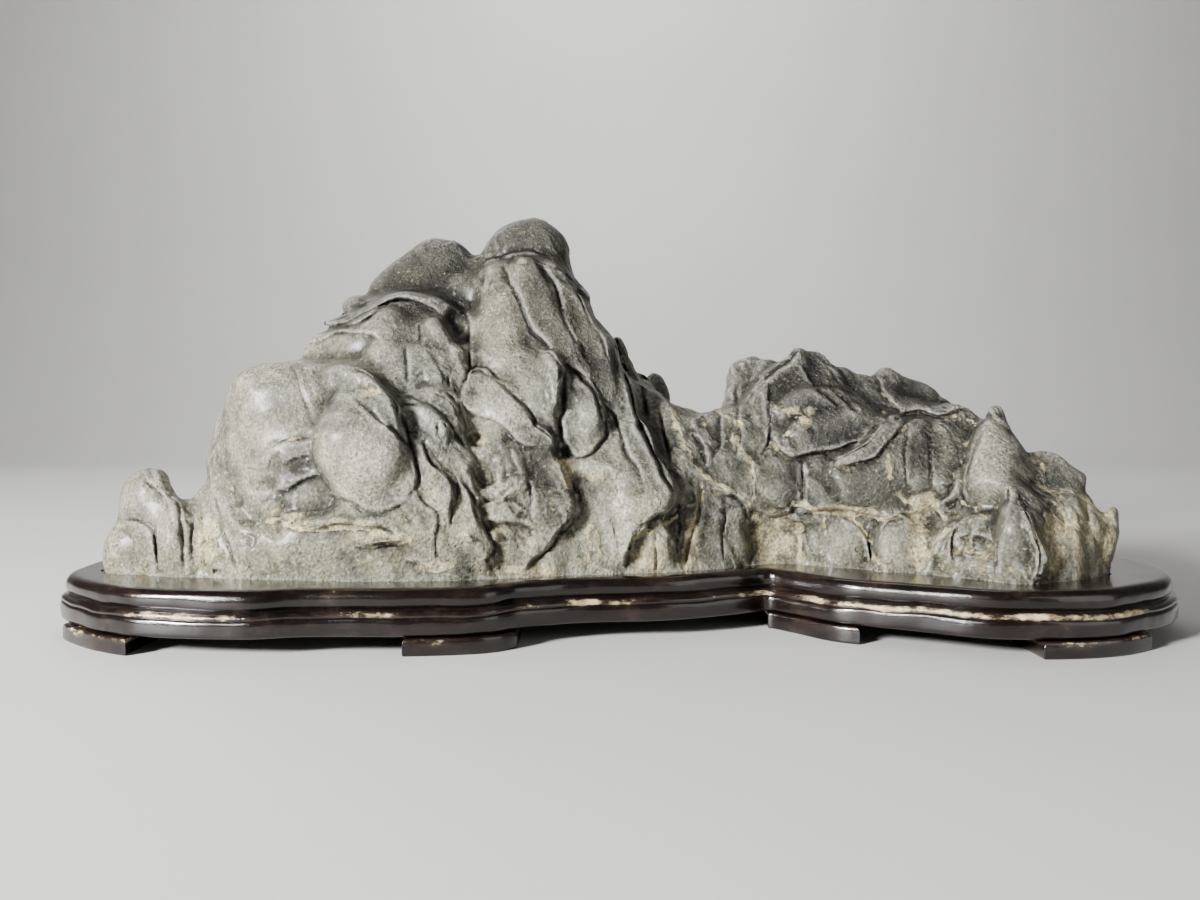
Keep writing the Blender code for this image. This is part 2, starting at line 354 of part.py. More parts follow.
def add_fold(bm, in_view, bulge, crest, lean, points):
    """One rounded ridge: a UV sphere, its rings strung along the run and closing in past both ends."""
    if len(points) == 1:
        x, z, y, half = points[0]
        points = [(x, z + 0.1, y, half), (x, z - 0.1, y, half)]
    run = smooth_run(points, RINGS_PER_SPAN)
    count = len(run)
    way = np.gradient(run[:, :2], axis=0)
    way /= np.linalg.norm(way, axis=1)[:, None]
    order = np.r_[np.zeros(CAP_RINGS, int), np.arange(count), np.full(CAP_RINGS, count - 1)]
    steps = np.r_[np.arange(-CAP_RINGS, 0), np.zeros(count), np.arange(1, CAP_RINGS + 1)]
    closing = math.pi / 2 * steps / CAP_RINGS

    ball = bmesh.new()
    bands = len(order) - 1
    made = bmesh.ops.create_uvsphere(ball, u_segments=RING_POINTS, v_segments=bands, radius=1)["verts"]
    unit = np.array([vert.co for vert in made])
    ring = np.rint(np.arccos(np.clip(unit[:, 2], -1, 1)) / math.pi * bands).astype(int)
    angle = np.arctan2(unit[:, 1], unit[:, 0])
    at = order[ring]
    end_shape = 2 / min(crest, 2.0)
    share = np.cos(closing[ring]) ** end_shape
    past_end = signed_power(np.sin(closing[ring]), end_shape)
    half = run[at, 3]
    proud = bulge * half
    out = signed_power(np.sin(angle), 2 / crest)
    across = signed_power(np.cos(angle), 2 / crest) + lean * np.maximum(out, 0) * (1 - np.abs(np.cos(angle)))
    side = np.stack([-way[at, 1], way[at, 0]], axis=-1)
    flat = run[at, :2] + way[at] * (half * past_end)[:, None] + side * (half * share * across)[:, None]
    x = flat[:, 0] + WANDER * wander(flat[:, 0], flat[:, 1], WANDER_LENGTH, 1)
    z = flat[:, 1] + WANDER * wander(flat[:, 0], flat[:, 1], WANDER_LENGTH, 2)
    y = run[at, 2] + proud - share * out * np.where(out > 0, proud, np.maximum(proud, ROOT))
    for vert, point in zip(made, in_view(x, z, y)):
        vert.co = Vector(point) * MM
    add_body(bm, ball)


def add_body(bm, body):
    """Moves one body's mesh into the whole."""
    mesh = bpy.data.meshes.new("body")
    body.to_mesh(mesh)
    body.free()
    bm.from_mesh(mesh)
    bpy.data.meshes.remove(mesh)


def add_heart(bm, centre, half_size):
    ball = bmesh.new()
    stretch = Matrix.Diagonal(Vector(half_size) * MM).to_4x4()
    matrix = Matrix.Translation(Vector(centre) * MM) @ stretch
    bmesh.ops.create_uvsphere(ball, u_segments=HEART_SEGMENTS, v_segments=HEART_RINGS, radius=1, matrix=matrix)
    add_body(bm, ball)


def over_disc(values, cells, choose):
    """Each cell's least or greatest neighbour within so many cells."""
    reach = range(-int(cells), int(cells) + 1)
    shifts = [(i, j) for i in reach for j in reach if i * i + j * j <= cells * cells]
    return choose([np.roll(values, shift, (0, 1)) for shift in shifts], axis=0)


def add_filling(bm):
    """The rock between the folds: a skin a little behind what the eye meets, with the narrow gaps closed."""
    tree = BVHTree.FromBMesh(bm)
    eye = Vector(EYE) * MM
    xs = np.arange(FILL_LEFT, FILL_RIGHT, FILL_STEP)
    zs = np.arange(FILL_LOW, FILL_HIGH, FILL_STEP)
    depth = np.full((len(xs), len(zs)), FAR)
    for i, x in enumerate(xs):
        for j, z in enumerate(zs):
            hit = tree.ray_cast(eye, (Vector((x, ELEVATION_Y, z)) * MM - eye).normalized())[0]
            if hit:
                depth[i, j] = hit.y / MM
    closed = over_disc(over_disc(depth, FILL_CELLS, np.min), FILL_CELLS, np.max)
    inside = over_disc(closed, 1, np.max) < FAR
    rim = over_disc(closed, 3, np.max) < FAR
    level = (closed + over_disc(closed, 1, np.mean)) / 2 + FILL_BEHIND
    skin = bmesh.new()
    grid = {(i, j): skin.verts.new((xs[i], level[i, j], zs[j])) for i, j in zip(*np.nonzero(inside))}
    for i, j in list(grid):
        corners = [grid.get(corner) for corner in ((i, j), (i + 1, j), (i + 1, j + 1), (i, j + 1))]
        if all(corners):
            skin.faces.new(corners)
    loose = [vert for vert in skin.verts if not vert.link_faces]
    bmesh.ops.delete(skin, geom=loose, context="VERTS")
    behind = bmesh.ops.extrude_face_region(skin, geom=skin.faces[:])["geom"]
    for vert in (part for part in behind if isinstance(part, bmesh.types.BMVert)):
        cell = round((vert.co.x - xs[0]) / FILL_STEP), round((vert.co.z - zs[0]) / FILL_STEP)
        vert.co.y += FILL_THICK if rim[cell] else FILL_RIM_THICK
    flat = np.array([vert.co for vert in skin.verts])
    for vert, point in zip(skin.verts, in_front_view(flat[:, 0], flat[:, 2], flat[:, 1])):
        vert.co = Vector(point) * MM
    add_body(bm, skin)


def add_back(bm):
    """The back: its masses, and on them three sizes of ridge that run down from the skyline."""
    for run in BACK_MASSES:
        add_fold(bm, in_back_view, 0.75, 2.2, 0, run)
    rng = np.random.default_rng(11)
    for spacing, proud in BACK_RIDGES:
        tree = BVHTree.FromBMesh(bm)
        x = BACK_LEFT
        while x < BACK_RIGHT:
            half = spacing * rng.uniform(0.35, 0.6)
            lean = rng.uniform(-0.28, 0.28)
            top = rng.uniform(0.55, 0.97)
            bottom = rng.uniform(0.0, 0.4) if spacing < BACK_RIDGES[0][0] else 0.0
            run = back_ridge(tree, x, lean, top, bottom, half, proud, rng)
            if len(run) > 2:
                add_fold(bm, in_back_view, 0.9, rng.uniform(1.6, 2.1), rng.uniform(-0.4, 0.4), run)
            x += spacing * rng.uniform(0.5, 0.9)


def back_ridge(tree, x, lean, top, bottom, half, proud, rng):
    """A ridge down the back at x, as a run of points that lie on what is there."""
    skyline = 0
    while skyline < FILL_HIGH and seen_from_behind(tree, x, skyline + BACK_FOOT) is not None:
        skyline += 3
    run = []
    for height in np.linspace(top * skyline, BACK_FOOT + bottom * skyline, 5):
        at = x + lean * (skyline - height) + rng.uniform(-2, 2)
        surface = seen_from_behind(tree, at, height)
        if surface is not None:
            run.append((at, height, -surface - proud * rng.uniform(0.6, 1.3), half * rng.uniform(0.7, 1.2)))
    return run


def seen_from_behind(tree, x, z):
    hit = tree.ray_cast(Vector((x, BACK_SIGHT, z)) * MM, Vector((0, -1, 0)))[0]
    return hit.y / MM if hit else None


def new_object(name, bm, collection, colour):
    bmesh.ops.recalc_face_normals(bm, faces=bm.faces)
    mesh = bpy.data.meshes.new(name)
    bm.to_mesh(mesh)
    bm.free()
    mesh.shade_smooth()
    mesh.set_sharp_from_angle(angle=math.radians(35))
    obj = bpy.data.objects.new(name, mesh)
    collection.objects.link(obj)
    if colour:
        obj.data.materials.append(material(name, *colour))
    else:
        obj.hide_render = True
        obj.display_type = "WIRE"
    return obj


def material(name, colour, roughness):
    made = bpy.data.materials.new(name)
    made.use_nodes = True
    shader = made.node_tree.nodes["Principled BSDF"]
    shader.inputs["Base Color"].default_value = colour
    shader.inputs["Roughness"].default_value = roughness
    shader.inputs["Metallic"].default_value = 0.0
    return made


def space_above(height, collection):
    """A cutter's box that holds everything above this height, in millimetres."""
    bm = bmesh.new()
    bmesh.ops.create_cube(bm, size=FAR * 2 * MM, matrix=Matrix.Translation((0, 0, (height + FAR) * MM)))
    return new_object("space_above", bm, collection, None)


def add_boolean(obj, operation, other):
    cut = obj.modifiers.new(operation.lower(), "BOOLEAN")
    cut.operation = operation
    cut.solver = "EXACT"
    cut.object = other


def add_remesh(obj, grid):
    remesh = obj.modifiers.new("one_skin", "REMESH")
    remesh.mode = "VOXEL"
    remesh.voxel_size = grid * MM
    remesh.adaptivity = 0


def add_decimate(obj, kept):
    fewer = obj.modifiers.new("fewer_faces", "DECIMATE")
    fewer.ratio = kept


def make_stone(parts, cutters):
    bm = bmesh.new()
    for centre, half_size in HEARTS:
        add_heart(bm, centre, half_size)
    for _, bulge, crest, lean, points in FOLDS:
        add_fold(bm, in_front_view, bulge, crest, lean, points)
    add_filling(bm)
    add_back(bm)
    stone = new_object("stone", bm, parts, STONE_FINISH)
    add_remesh(stone, STONE_GRID)
    add_decimate(stone, STONE_KEPT)
    add_boolean(stone, "INTERSECT", space_above(STONE_BOTTOM, cutters))
    return stone


def make_seat_cutter(stone, cutters):
    """The seat's outline keeps a clearance to the stone's base, and is cut straight down into the board."""
    bm = bmesh.new()
    bm.from_object(stone, bpy.context.evaluated_depsgraph_get())
    everything = bm.verts[:] + bm.edges[:] + bm.faces[:]
    top = (0, 0, STAND_TOP * MM)
    bmesh.ops.bisect_plane(bm, geom=everything, plane_co=top, plane_no=(0, 0, 1), clear_outer=True)
    base = np.array([vert.co for vert in bm.verts]) / MM
    bm.free()
    left = base[:, 0].min() - SEAT_CLEARANCE
    right = base[:, 0].max() + SEAT_CLEARANCE
    stations = np.linspace(left, right, SEAT_STATIONS)
    window = stations[1] - stations[0] + SEAT_CLEARANCE
    near = [base[np.abs(base[:, 0] - x) <= window, 1] for x in stations]
    front = [(x, y.min() - SEAT_CLEARANCE) for x, y in zip(stations, near)]
    back = [(x, y.max() + SEAT_CLEARANCE) for x, y in zip(stations, near)]
    outline = front + back[::-1]
    bm = bmesh.new()
    add_loft(bm, [(outline, STAND_TOP - SEAT_DEPTH), (outline, STAND_TOP + SEAT_DEPTH)])
    return new_object("seat_cutter", bm, cutters, None)


def board_outline(outset):
    """The stand's outline as a closed smooth run, let out by so much."""
    closed = OUTLINE[-2:] + OUTLINE + OUTLINE[:2]
    run = smooth_run(closed, OUTLINE_STEPS)[2 * OUTLINE_STEPS:][:len(OUTLINE) * OUTLINE_STEPS]
    way = np.roll(run, -1, axis=0) - np.roll(run, 1, axis=0)
    way /= np.linalg.norm(way, axis=1)[:, None]
    return run + np.stack([way[:, 1], -way[:, 0]], axis=-1) * outset


def add_loft(bm, rings):
    """A closed body through rings of equal count, from the lowest up: each ring's points and its height."""
    loops = []
    for points, height in rings:
        loops.append([bm.verts.new((x * MM, y * MM, height * MM)) for x, y in points])
    for low, high in zip(loops, loops[1:]):
        for i, vert in enumerate(low):
            bm.faces.new((vert, low[(i + 1) % len(low)], high[(i + 1) % len(high)], high[i]))
    bm.faces.new(reversed(loops[0]))
    bm.faces.new(loops[-1])


def make_stand(parts, seat_cutter):
    bm = bmesh.new()
    add_loft(bm, [(board_outline(outset), height) for outset, height in MOULDING])
    stand = new_object("stand", bm, parts, LACQUER_FINISH)
    add_boolean(stand, "DIFFERENCE", seat_cutter)


def make_foot(name, front, start, end, parts):
    """A block under the board's edge, its outer side following the outline."""
    outer = board_outline(FOOT_OUTSET)
    on_side = (outer[:, 1] < 0) == front
    chosen = outer[on_side & (outer[:, 0] > start) & (outer[:, 0] < end)]
    chosen = chosen[np.argsort(chosen[:, 0])]
    inner = chosen[::-1].copy()
    inner[:, 1] += FOOT_DEPTH if front else -FOOT_DEPTH
    outline = np.vstack([chosen, inner])
    bm = bmesh.new()
    add_loft(bm, [(outline, 0), (outline, FOOT_HEIGHT)])
    foot = new_object(name, bm, parts, LACQUER_FINISH)
    rounding = foot.modifiers.new("worn_edges", "BEVEL")
    rounding.width = FOOT_ROUNDING * MM
    rounding.segments = 2
    rounding.limit_method = "ANGLE"
    rounding.angle_limit = math.radians(50)


def main():
    for obj in list(bpy.data.objects):
        bpy.data.objects.remove(obj)
    parts = bpy.data.collections.new("scholars_rock")
    cutters = bpy.data.collections.new("cutters")
    cutters.hide_render = True
    for collection in (parts, cutters):
        bpy.context.scene.collection.children.link(collection)
    stone = make_stone(parts, cutters)
    seat_cutter = make_seat_cutter(stone, cutters)
    make_stand(parts, seat_cutter)
    for name, (front, start, end) in FEET.items():
        make_foot(name, front, start, end, parts)


main()
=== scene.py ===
import itertools
import math

import bmesh
import bpy
import numpy as np
from mathutils import Matrix, Vector
from mathutils.bvhtree import BVHTree


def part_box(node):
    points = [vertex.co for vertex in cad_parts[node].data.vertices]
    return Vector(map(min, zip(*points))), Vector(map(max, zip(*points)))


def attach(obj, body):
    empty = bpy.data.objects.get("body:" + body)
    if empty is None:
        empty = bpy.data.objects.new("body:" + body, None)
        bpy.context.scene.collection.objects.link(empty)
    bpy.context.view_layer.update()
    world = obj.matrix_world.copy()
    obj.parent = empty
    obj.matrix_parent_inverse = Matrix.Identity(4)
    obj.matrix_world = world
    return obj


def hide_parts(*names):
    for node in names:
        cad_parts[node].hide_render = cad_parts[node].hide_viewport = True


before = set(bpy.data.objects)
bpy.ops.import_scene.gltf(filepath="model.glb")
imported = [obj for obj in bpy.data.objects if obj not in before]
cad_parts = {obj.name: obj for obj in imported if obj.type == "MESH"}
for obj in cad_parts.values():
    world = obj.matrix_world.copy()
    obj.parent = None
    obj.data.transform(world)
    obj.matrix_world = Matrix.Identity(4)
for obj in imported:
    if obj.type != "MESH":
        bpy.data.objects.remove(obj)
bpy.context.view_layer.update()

MM = 0.001


# ==== The stone ====
# One piece of limestone, folded and fretted by water into a small range of mountains, and lightly waxed.
# Its folds are laid out in millimetres on a front elevation, the plane y = ELEVATION_Y, and each is moved
# along the line from the viewing point, so that it keeps its place in the front view whatever its depth.

EYE = np.array([-8.0, -380.0, 72.0])
ELEVATION_Y = -30.0
STAND_TOP = 20.4
STONE_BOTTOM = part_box("stone")[0].z / MM
STONE_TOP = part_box("stone")[1].z / MM
STONE_GRID = 0.72
STONE_TRIANGLES = 188000
BACK_SHARE = 0.3

# How a fold is made: points round it, rings along it and past its ends, how deep it is rooted, and its wander
RING_POINTS = 28
RINGS_PER_SPAN = 7
CAP_RINGS = 9
ROOT = 9.0
WANDER = 0.6
WANDER_LENGTH = 17.0
HEART_SEGMENTS = 32
HEART_RINGS = 18

# The skin of rock between the folds: where it reaches, and how far behind what the eye meets it lies
FILL_STEP = 2.0
FILL_LEFT = -194
FILL_RIGHT = 184
FILL_LOW = 2
FILL_HIGH = 156
FILL_CELLS = 2.5
FILL_BEHIND = 0.9
FILL_THICK = 20
FILL_RIM_THICK = 5
FAR = 400.0

# How the front is worked: the plates that it breaks into and their seams, the wrinkles, and the smooth places
SLANT = np.array([[0.95, 0, 0.26], [0, 0.85, 0], [0.42, 0, 0.52]])
SOFT_ROUNDS = 14
PLATE = 13.0
PLATE_ROUNDS = 36
PLATE_PULL = 0.8
PLATE_TIP = 0.13
SEAM_DEPTH = 0.35
SEAM_WIDTH = 1.6
WRINKLE = 4.2
WRINKLE_TIP = 0.08
WRINKLE_SEAM = 0.2
WRINKLE_SEAM_WIDTH = 0.9
WRINKLE_WAVE = 0.10
CALM = 0.92
CALM_FROM = 25
CALM_FADE = 20
CREASE_DEPTH = 0.9
CREASE_WIDTH = 0.95
CREASE_ROOM = 9
CREASE_TAPER = 6
LIP_REACH = 3.0
LINE_WANDER = 0.3
LINE_WANDER_LENGTH = 13.0
CROWN = 8.0
CROWN_ROOM = 0.1

# Each fold is a rounded ridge that runs through its points (x, z, y, half width). Bulge is how far it stands
# out, as a share of its half width; crest sharpens it below 2 and flattens it above; lean pushes the crest to
# one side.
FOLDS = [
    # --- the mass that the folds lie on
    ("slope_wall", 0.6, 2.3, 0, [(-84, 90, -20, 17), (-66, 90, -22, 19), (-52, 92, -18, 17)]),
    ("peak_wall", 0.6, 2.3, 0, [(-38, 84, -26, 20), (-22, 66, -32, 20), (-4, 52, -33, 20),
                                (18, 42, -28, 15)]),
    ("pass_wall", 0.6, 2.3, 0, [(-2, 74, -10, 13), (22, 62, -12, 14), (48, 66, -11, 15)]),
    ("range_wall", 0.6, 2.3, 0, [(58, 74, -5, 15), (84, 70, -6, 16), (104, 64, -12, 15),
                                 (120, 56, -22, 14)]),
    ("end_wall", 0.6, 2.3, 0, [(132, 44, -36, 14), (150, 40, -38, 14)]),
    ("toe_left", 0.7, 2.2, 0, [(-172, 13, -41, 8), (-150, 11, -49, 8), (-128, 11, -53, 9),
                               (-96, 11, -57, 9), (-64, 11, -56, 9), (-34, 12, -49, 9)]),
    ("toe_mid", 0.7, 2.2, 0, [(-30, 13, -46, 8), (-8, 14, -42, 8), (14, 15, -38, 8), (34, 17, -29, 8),
                              (52, 18, -16, 8)]),
    ("toe_right", 0.7, 2.2, 0, [(60, 16, -18, 8), (76, 14, -27, 8), (96, 12, -38, 8), (118, 10, -49, 8),
                                (142, 9, -62, 8), (164, 11, -50, 7)]),
    # --- the low outcrop at the left end
    ("outcrop", 0.9, 2.4, 0, [(-166.5, 45, -40, 10.5), (-164, 34, -43, 10.5), (-161, 18, -45, 11)]),
    ("outcrop_toe", 1.0, 2.2, 0, [(-174.5, 28, -41, 8.3), (-172, 18, -42, 9.5)]),
    ("outcrop_rib", 0.8, 1.8, 0, [(-159, 44, -42, 3.5), (-158, 32, -47, 4.5), (-157, 16, -49, 5)]),
    ("gully_1", 1.2, 1.6, 0, [(-153, 43, -36, 3), (-150, 32, -43, 2.4), (-149, 16, -47, 2.8)]),
    ("gully_2", 1.2, 1.6, 0, [(-148, 46, -33, 2.6), (-146.5, 33, -44, 2.4), (-145, 16, -49, 3)]),
    ("gully_3", 1.2, 1.6, 0, [(-145, 50, -30, 2.6), (-143, 36, -45, 2.4), (-140.5, 16, -51, 3)]),
    # --- the great boulder
    ("boulder", 0.92, 2.3, 0, [(-109.5, 57, -50, 36.5), (-108, 38, -51, 36)]),
    ("boulder_shoulder", 0.9, 2.2, 0, [(-123.8, 76.6, -42.5, 16.6), (-108, 77.6, -44, 15.6)]),
    ("boulder_edge", 0.8, 1.9, 0, [(-141.5, 60, -33, 3.5), (-141, 48, -41, 3.8), (-138, 34, -49, 3.6),
                                   (-134, 16, -53, 3.6)]),
    ("knob", 0.8, 2.3, 0, [(-94.5, 64.5, -61, 13.5), (-89, 57.8, -62.5, 16.2)]),
    ("shell_outer", 0.9, 1.6, 0.3, [(-100, 88, -43, 4), (-91, 86, -50, 4.6), (-84, 79, -55, 4.4),
                                    (-79.5, 69, -57, 3.6), (-77, 58, -57, 2.6)]),
    ("shell_inner", 0.9, 1.6, 0.3, [(-97, 81, -52, 3), (-90, 77, -57, 3.2), (-83, 70, -60, 2.6)]),
    ("under_knob", 0.9, 2.0, 0, [(-84, 41, -57, 4), (-77, 45, -58, 4.5), (-74, 51, -58, 3)]),
    ("neck", 0.7, 2.0, 0, [(-124, 46, -46, 4), (-106, 45, -50, 5), (-92, 41, -54, 4)]),
    ("plinth_left", 0.7, 2.8, 0, [(-132, 27, -52, 9.5), (-116, 25, -55, 11.5), (-98, 26, -56, 11),
                                  (-82, 25, -55, 11)]),
    ("bead_1", 1, 2, 0, [(-122, 41.5, -51, 2.6)]),
    ("bead_2", 1, 2, 0, [(-115.6, 37.6, -55.5, 2.0)]),
    ("bead_3", 1, 2, 0, [(-110.5, 36.8, -57, 2.6), (-107.5, 36.6, -57, 2.6)]),
    ("ledge_left", 0.9, 2, 0, [(-103.5, 37.0, -58, 2.3), (-92, 37.8, -58.5, 2.6), (-84, 36.8, -58, 2.4),
                               (-78, 33.5, -57, 1.4)]),
    ("bar_left", 0.8, 1.6, 0, [(-92, 29.6, -58.5, 0.9), (-85, 30, -58.5, 1.4), (-77.5, 30.2, -58, 1.5)]),
    ("sill_left", 0.8, 2.2, 0, [(-100, 20, -56.5, 4), (-88, 19, -57, 5), (-76, 18, -56, 5)]),
    # --- the slope between boulder and peak
    ("rear_dome", 0.9, 2.3, 0, [(-65, 123, 3, 13.5), (-76, 110, -2, 15)]),
    ("rear_knob", 1, 2, 0, [(-94, 112.3, -2, 5.2), (-90, 104, -6, 7)]),
    ("visor", 1.3, 1.5, 0.2, [(-104, 105.6, -15, 0.6), (-97, 108, -17, 1.7), (-88, 111.8, -18, 2.1),
                              (-80, 115.2, -18, 1.9), (-73.5, 116, -17.5, 1.8), (-67, 114.4, -17, 2.2),
                              (-61, 110.2, -16, 2.8), (-57, 104.5, -14, 2.8)]),
    ("cheek", 0.9, 2.4, 0, [(-108, 98.3, -17, 4.6), (-98, 96.5, -24, 9), (-82.5, 100, -28, 13)]),
    ("cheek_low", 0.9, 2.3, 0, [(-82, 93, -35, 8.5), (-79, 84, -41, 6.5)]),
    ("sliver", 1.1, 1.6, 0, [(-72.6, 97.5, -33, 2.0), (-72.4, 89, -38, 2.3)]),
    ("nub_1", 1, 2, 0, [(-66.8, 104.6, -29, 3.6), (-63.4, 100, -31, 3.8)]),
    ("scale_1", 0.9, 1.9, 0.4, [(-69, 95, -35, 3.4), (-66.5, 88, -40, 4.6), (-65, 83, -41, 4.2)]),
    ("scale_2", 0.8, 2.0, 0, [(-58.6, 96, -33, 3.6), (-57.5, 88, -36, 3.6), (-56.5, 79, -39, 2.6)]),
    ("scale_3", 0.9, 2.0, 0.3, [(-72, 81, -43, 4.2), (-66, 80, -45, 4.2), (-61, 76.5, -45, 3.2)]),
    ("scale_4", 0.9, 2.0, 0.4, [(-74, 75.5, -48, 3.6), (-69, 72.5, -50, 5), (-65.5, 66, -51, 4)]),
    ("lens", 0.8, 1.8, 0, [(-64.2, 70.5, -51, 1.8), (-63.6, 65, -52, 2.2), (-64.6, 60, -52, 1.6)]),
    ("scale_5", 0.8, 2.0, 0.3, [(-60, 70.5, -46, 2.6), (-57.5, 64, -47, 3), (-54, 58, -48, 2.8)]),
    ("fold_1", 0.8, 2.1, 0.5, [(-73, 66, -52, 2.6), (-70.5, 57, -55, 5.5), (-65.5, 48, -57, 7.4),
                               (-66.5, 40, -57, 6)]),
    ("fold_2", 0.8, 2.1, 0.5, [(-62, 62, -49, 3.5), (-58, 54, -52, 5), (-56, 44, -54, 4.6),
                               (-55, 35, -55.5, 6.5), (-53, 24, -55, 7.6)]),
    ("fold_3", 0.8, 2.2, 0, [(-72, 36, -57.5, 4), (-70, 26, -56.5, 6), (-69, 17, -56, 7)]),
    ("fold_4", 0.8, 2.0, 0.2, [(-64, 34, -56, 3.6), (-62.5, 26, -56.5, 4.6), (-63, 17, -56, 6)]),
    ("col", 0.7, 2.2, 0, [(-56, 116, -2, 8), (-46, 116, -5, 8)]),
    # --- the peak
    ("cap", 0.85, 2.2, 0, [(-33.4, 126.6, -3, 16.4), (-33, 112, -6, 18.5)]),
    ("buttress", 0.85, 2.0, 0.35, [(-44, 123, -10, 3.6), (-43.2, 114, -17, 7.4), (-42, 104, -23, 10.5),
                                   (-42, 95, -27, 11.5)]),
    ("rib_1", 0.8, 2.2, 0, [(-34.4, 124, -14.5, 6.2), (-31, 115, -18, 8.2), (-26, 104, -22.5, 8),
                            (-20.5, 95.5, -27, 6.6), (-14, 89, -29, 4)]),
    ("rib_2", 0.7, 2.0, 0, [(-25, 123, -11, 5.5), (-19, 112, -14.5, 6.5), (-13.5, 101, -19.5, 7),
                            (-9, 91, -24.5, 6.2), (-6, 82, -28, 4)]),
    ("rib_3", 0.75, 2.0, 0, [(-20.5, 120, -5.5, 5), (-14.4, 109, -9.5, 5.6), (-8, 97, -14.5, 5.8),
                             (-3.8, 86, -21, 5.6), (1.2, 73, -28, 5.4), (6, 62, -34, 5.6),
                             (10.4, 53, -39, 6.2), (12.6, 46, -43, 6.8)]),
    ("spur_toe", 0.9, 1.9, 0, [(13, 43.6, -43, 5.6), (6, 41, -43.5, 5.6), (2.4, 36, -43.5, 3.4),
                               (1.6, 28, -43, 2.4)]),
    ("rib_4", 0.9, 1.8, 0, [(-7, 77, -28, 1.8), (-4.4, 68, -32, 2.4), (-1.6, 59, -37, 3.4),
                            (1.6, 50, -41, 4.6)]),
    ("leaf", 0.75, 2.0, -0.2, [(-50.5, 84.5, -36, 5), (-45.5, 79.5, -39.5, 7.8), (-38.5, 72.4, -42, 6.8),
                               (-31.5, 67.5, -43.5, 4.2), (-24.5, 65.6, -43.5, 2.2)]),
    ("slab_mid", 0.7, 2.1, 0, [(-44, 93, -29, 7), (-36.5, 87.5, -33, 7.6), (-30.5, 79.5, -37, 5),
                               (-26.6, 72, -39.5, 2.8)]),
    ("blade", 1.3, 1.7, 0.4, [(-25.4, 94.4, -35, 2.6), (-24.3, 86, -39, 2.5), (-23, 78.5, -40.5, 1.1)]),
    ("almond", 0.9, 2.0, 0.2, [(-14.6, 84.6, -32, 4.2), (-12.2, 75.5, -36, 6), (-13, 66.8, -37, 5)]),
    ("brow", 0.9, 1.9, 0, [(-17.4, 55.8, -38, 2), (-9.6, 56.6, -40, 2.5), (-2.6, 55.4, -40, 2.2)]),
    ("drape_1", 0.7, 2.0, 0, [(-13.4, 50.6, -38, 5), (-12.8, 42, -40, 4.2), (-11.6, 31, -42, 3.4),
                              (-10.6, 18, -43, 4)]),
    ("drape_2", 0.7, 2.0, 0, [(-5.6, 50, -38.5, 5), (-5.4, 40, -40, 4.6), (-5.2, 28, -41, 3.4),
                              (-5, 18, -42, 4)]),
    ("drape_3", 0.7, 1.8, 0, [(-0.4, 44, -41, 2.4), (-1.6, 34, -41.5, 2.2), (-1, 26, -41, 2)]),
    ("crag_1", 0.9, 1.8, 0, [(-24, 58, -43, 2.2), (-23, 51, -45, 3.8), (-21, 44, -47.5, 5),
                             (-20.4, 39.6, -48, 3.8)]),
    ("crag_2", 0.8, 1.8, 0, [(-29.6, 51, -44, 3), (-28, 44.6, -47, 4.2), (-27.6, 38.6, -47.5, 3.6)]),
    ("crag_3", 0.9, 1.8, 0, [(-19.4, 37.2, -47, 2.2), (-26, 33, -48, 3.2), (-33.5, 26.4, -48.5, 3),
                             (-37, 18, -48, 3)]),
    ("crag_4", 0.8, 2.0, 0, [(-21.2, 30.6, -45, 2.6), (-24, 25, -46, 4), (-26, 17, -46, 5)]),
    ("crag_5", 0.8, 2.0, 0, [(-17, 30, -43, 2.6), (-16.4, 22, -44, 3.6), (-16, 16, -44, 4)]),
    ("lump_1", 0.7, 2.2, 0, [(-47, 60, -45, 5.6), (-41, 57.4, -47, 7), (-37, 53, -47, 5)]),
    ("lump_2", 0.8, 1.8, 0, [(-50, 44.6, -49, 2), (-43, 46.8, -50, 2.4), (-36, 50, -49, 1.8)]),
    ("lump_3", 0.7, 2.0, 0, [(-47, 39.6, -50, 3.6), (-41, 41, -49.5, 4.4), (-36.4, 42, -48, 3.6)]),
    ("lump_4", 0.8, 2.2, 0, [(-42.6, 31.6, -50, 5.4), (-41.6, 24, -49.5, 5.6), (-42, 16, -49, 6)]),
    ("pearl_1", 1, 2, 0, [(-44.6, 32.6, -53.5, 1.7)]),
    ("pearl_2", 1, 2, 0, [(-50, 45, -54, 1.0)]),
    ("pearl_3", 1, 2, 0, [(-53.6, 30.6, -60.5, 1.0)]),
    # --- behind the peak's right flank
    ("hind_1", 1.2, 1.8, 0, [(-3.4, 101, 4, 2.5), (1.2, 92, 4, 3.2), (3, 80, -1, 3.6), (5, 66, -8, 4.5)]),
    ("hind_2", 1.2, 1.8, 0, [(6.4, 87, 12, 2.6), (8, 78, 8, 3.4), (8, 68, 2, 4)]),
    ("hind_3", 1.2, 1.8, 0, [(11, 87.4, 21, 3), (13.6, 80, 17, 3.4), (14, 70, 8, 4.5)]),
    # --- the pass between the peaks
    ("fin_1", 1.3, 1.7, 0, [(11.2, 74, -14, 2.4), (11.4, 67, -20, 2.3), (13, 60.6, -26, 1.5)]),
    ("fin_2", 1.1, 1.8, 0, [(15.6, 75.6, -12, 2.8), (18, 66, -19, 2.9), (19, 58.6, -25, 2.6)]),
    ("fin_3", 0.8, 2.0, 0, [(20.4, 57.6, -27, 3.4), (21.4, 50.4, -30, 4.4), (23, 46, -31, 3)]),
    ("pass_knob", 1, 2, 0, [(22.2, 76.6, -6, 1.9)]),
    ("vein_1", 1.2, 2, 0, [(18.8, 74, -14, 0.6), (20.4, 67, -19, 0.9), (22.6, 61, -23, 0.9),
                           (25.6, 55.6, -26, 0.9), (29.6, 51.4, -27, 1.0), (36, 48.6, -27, 1.0),
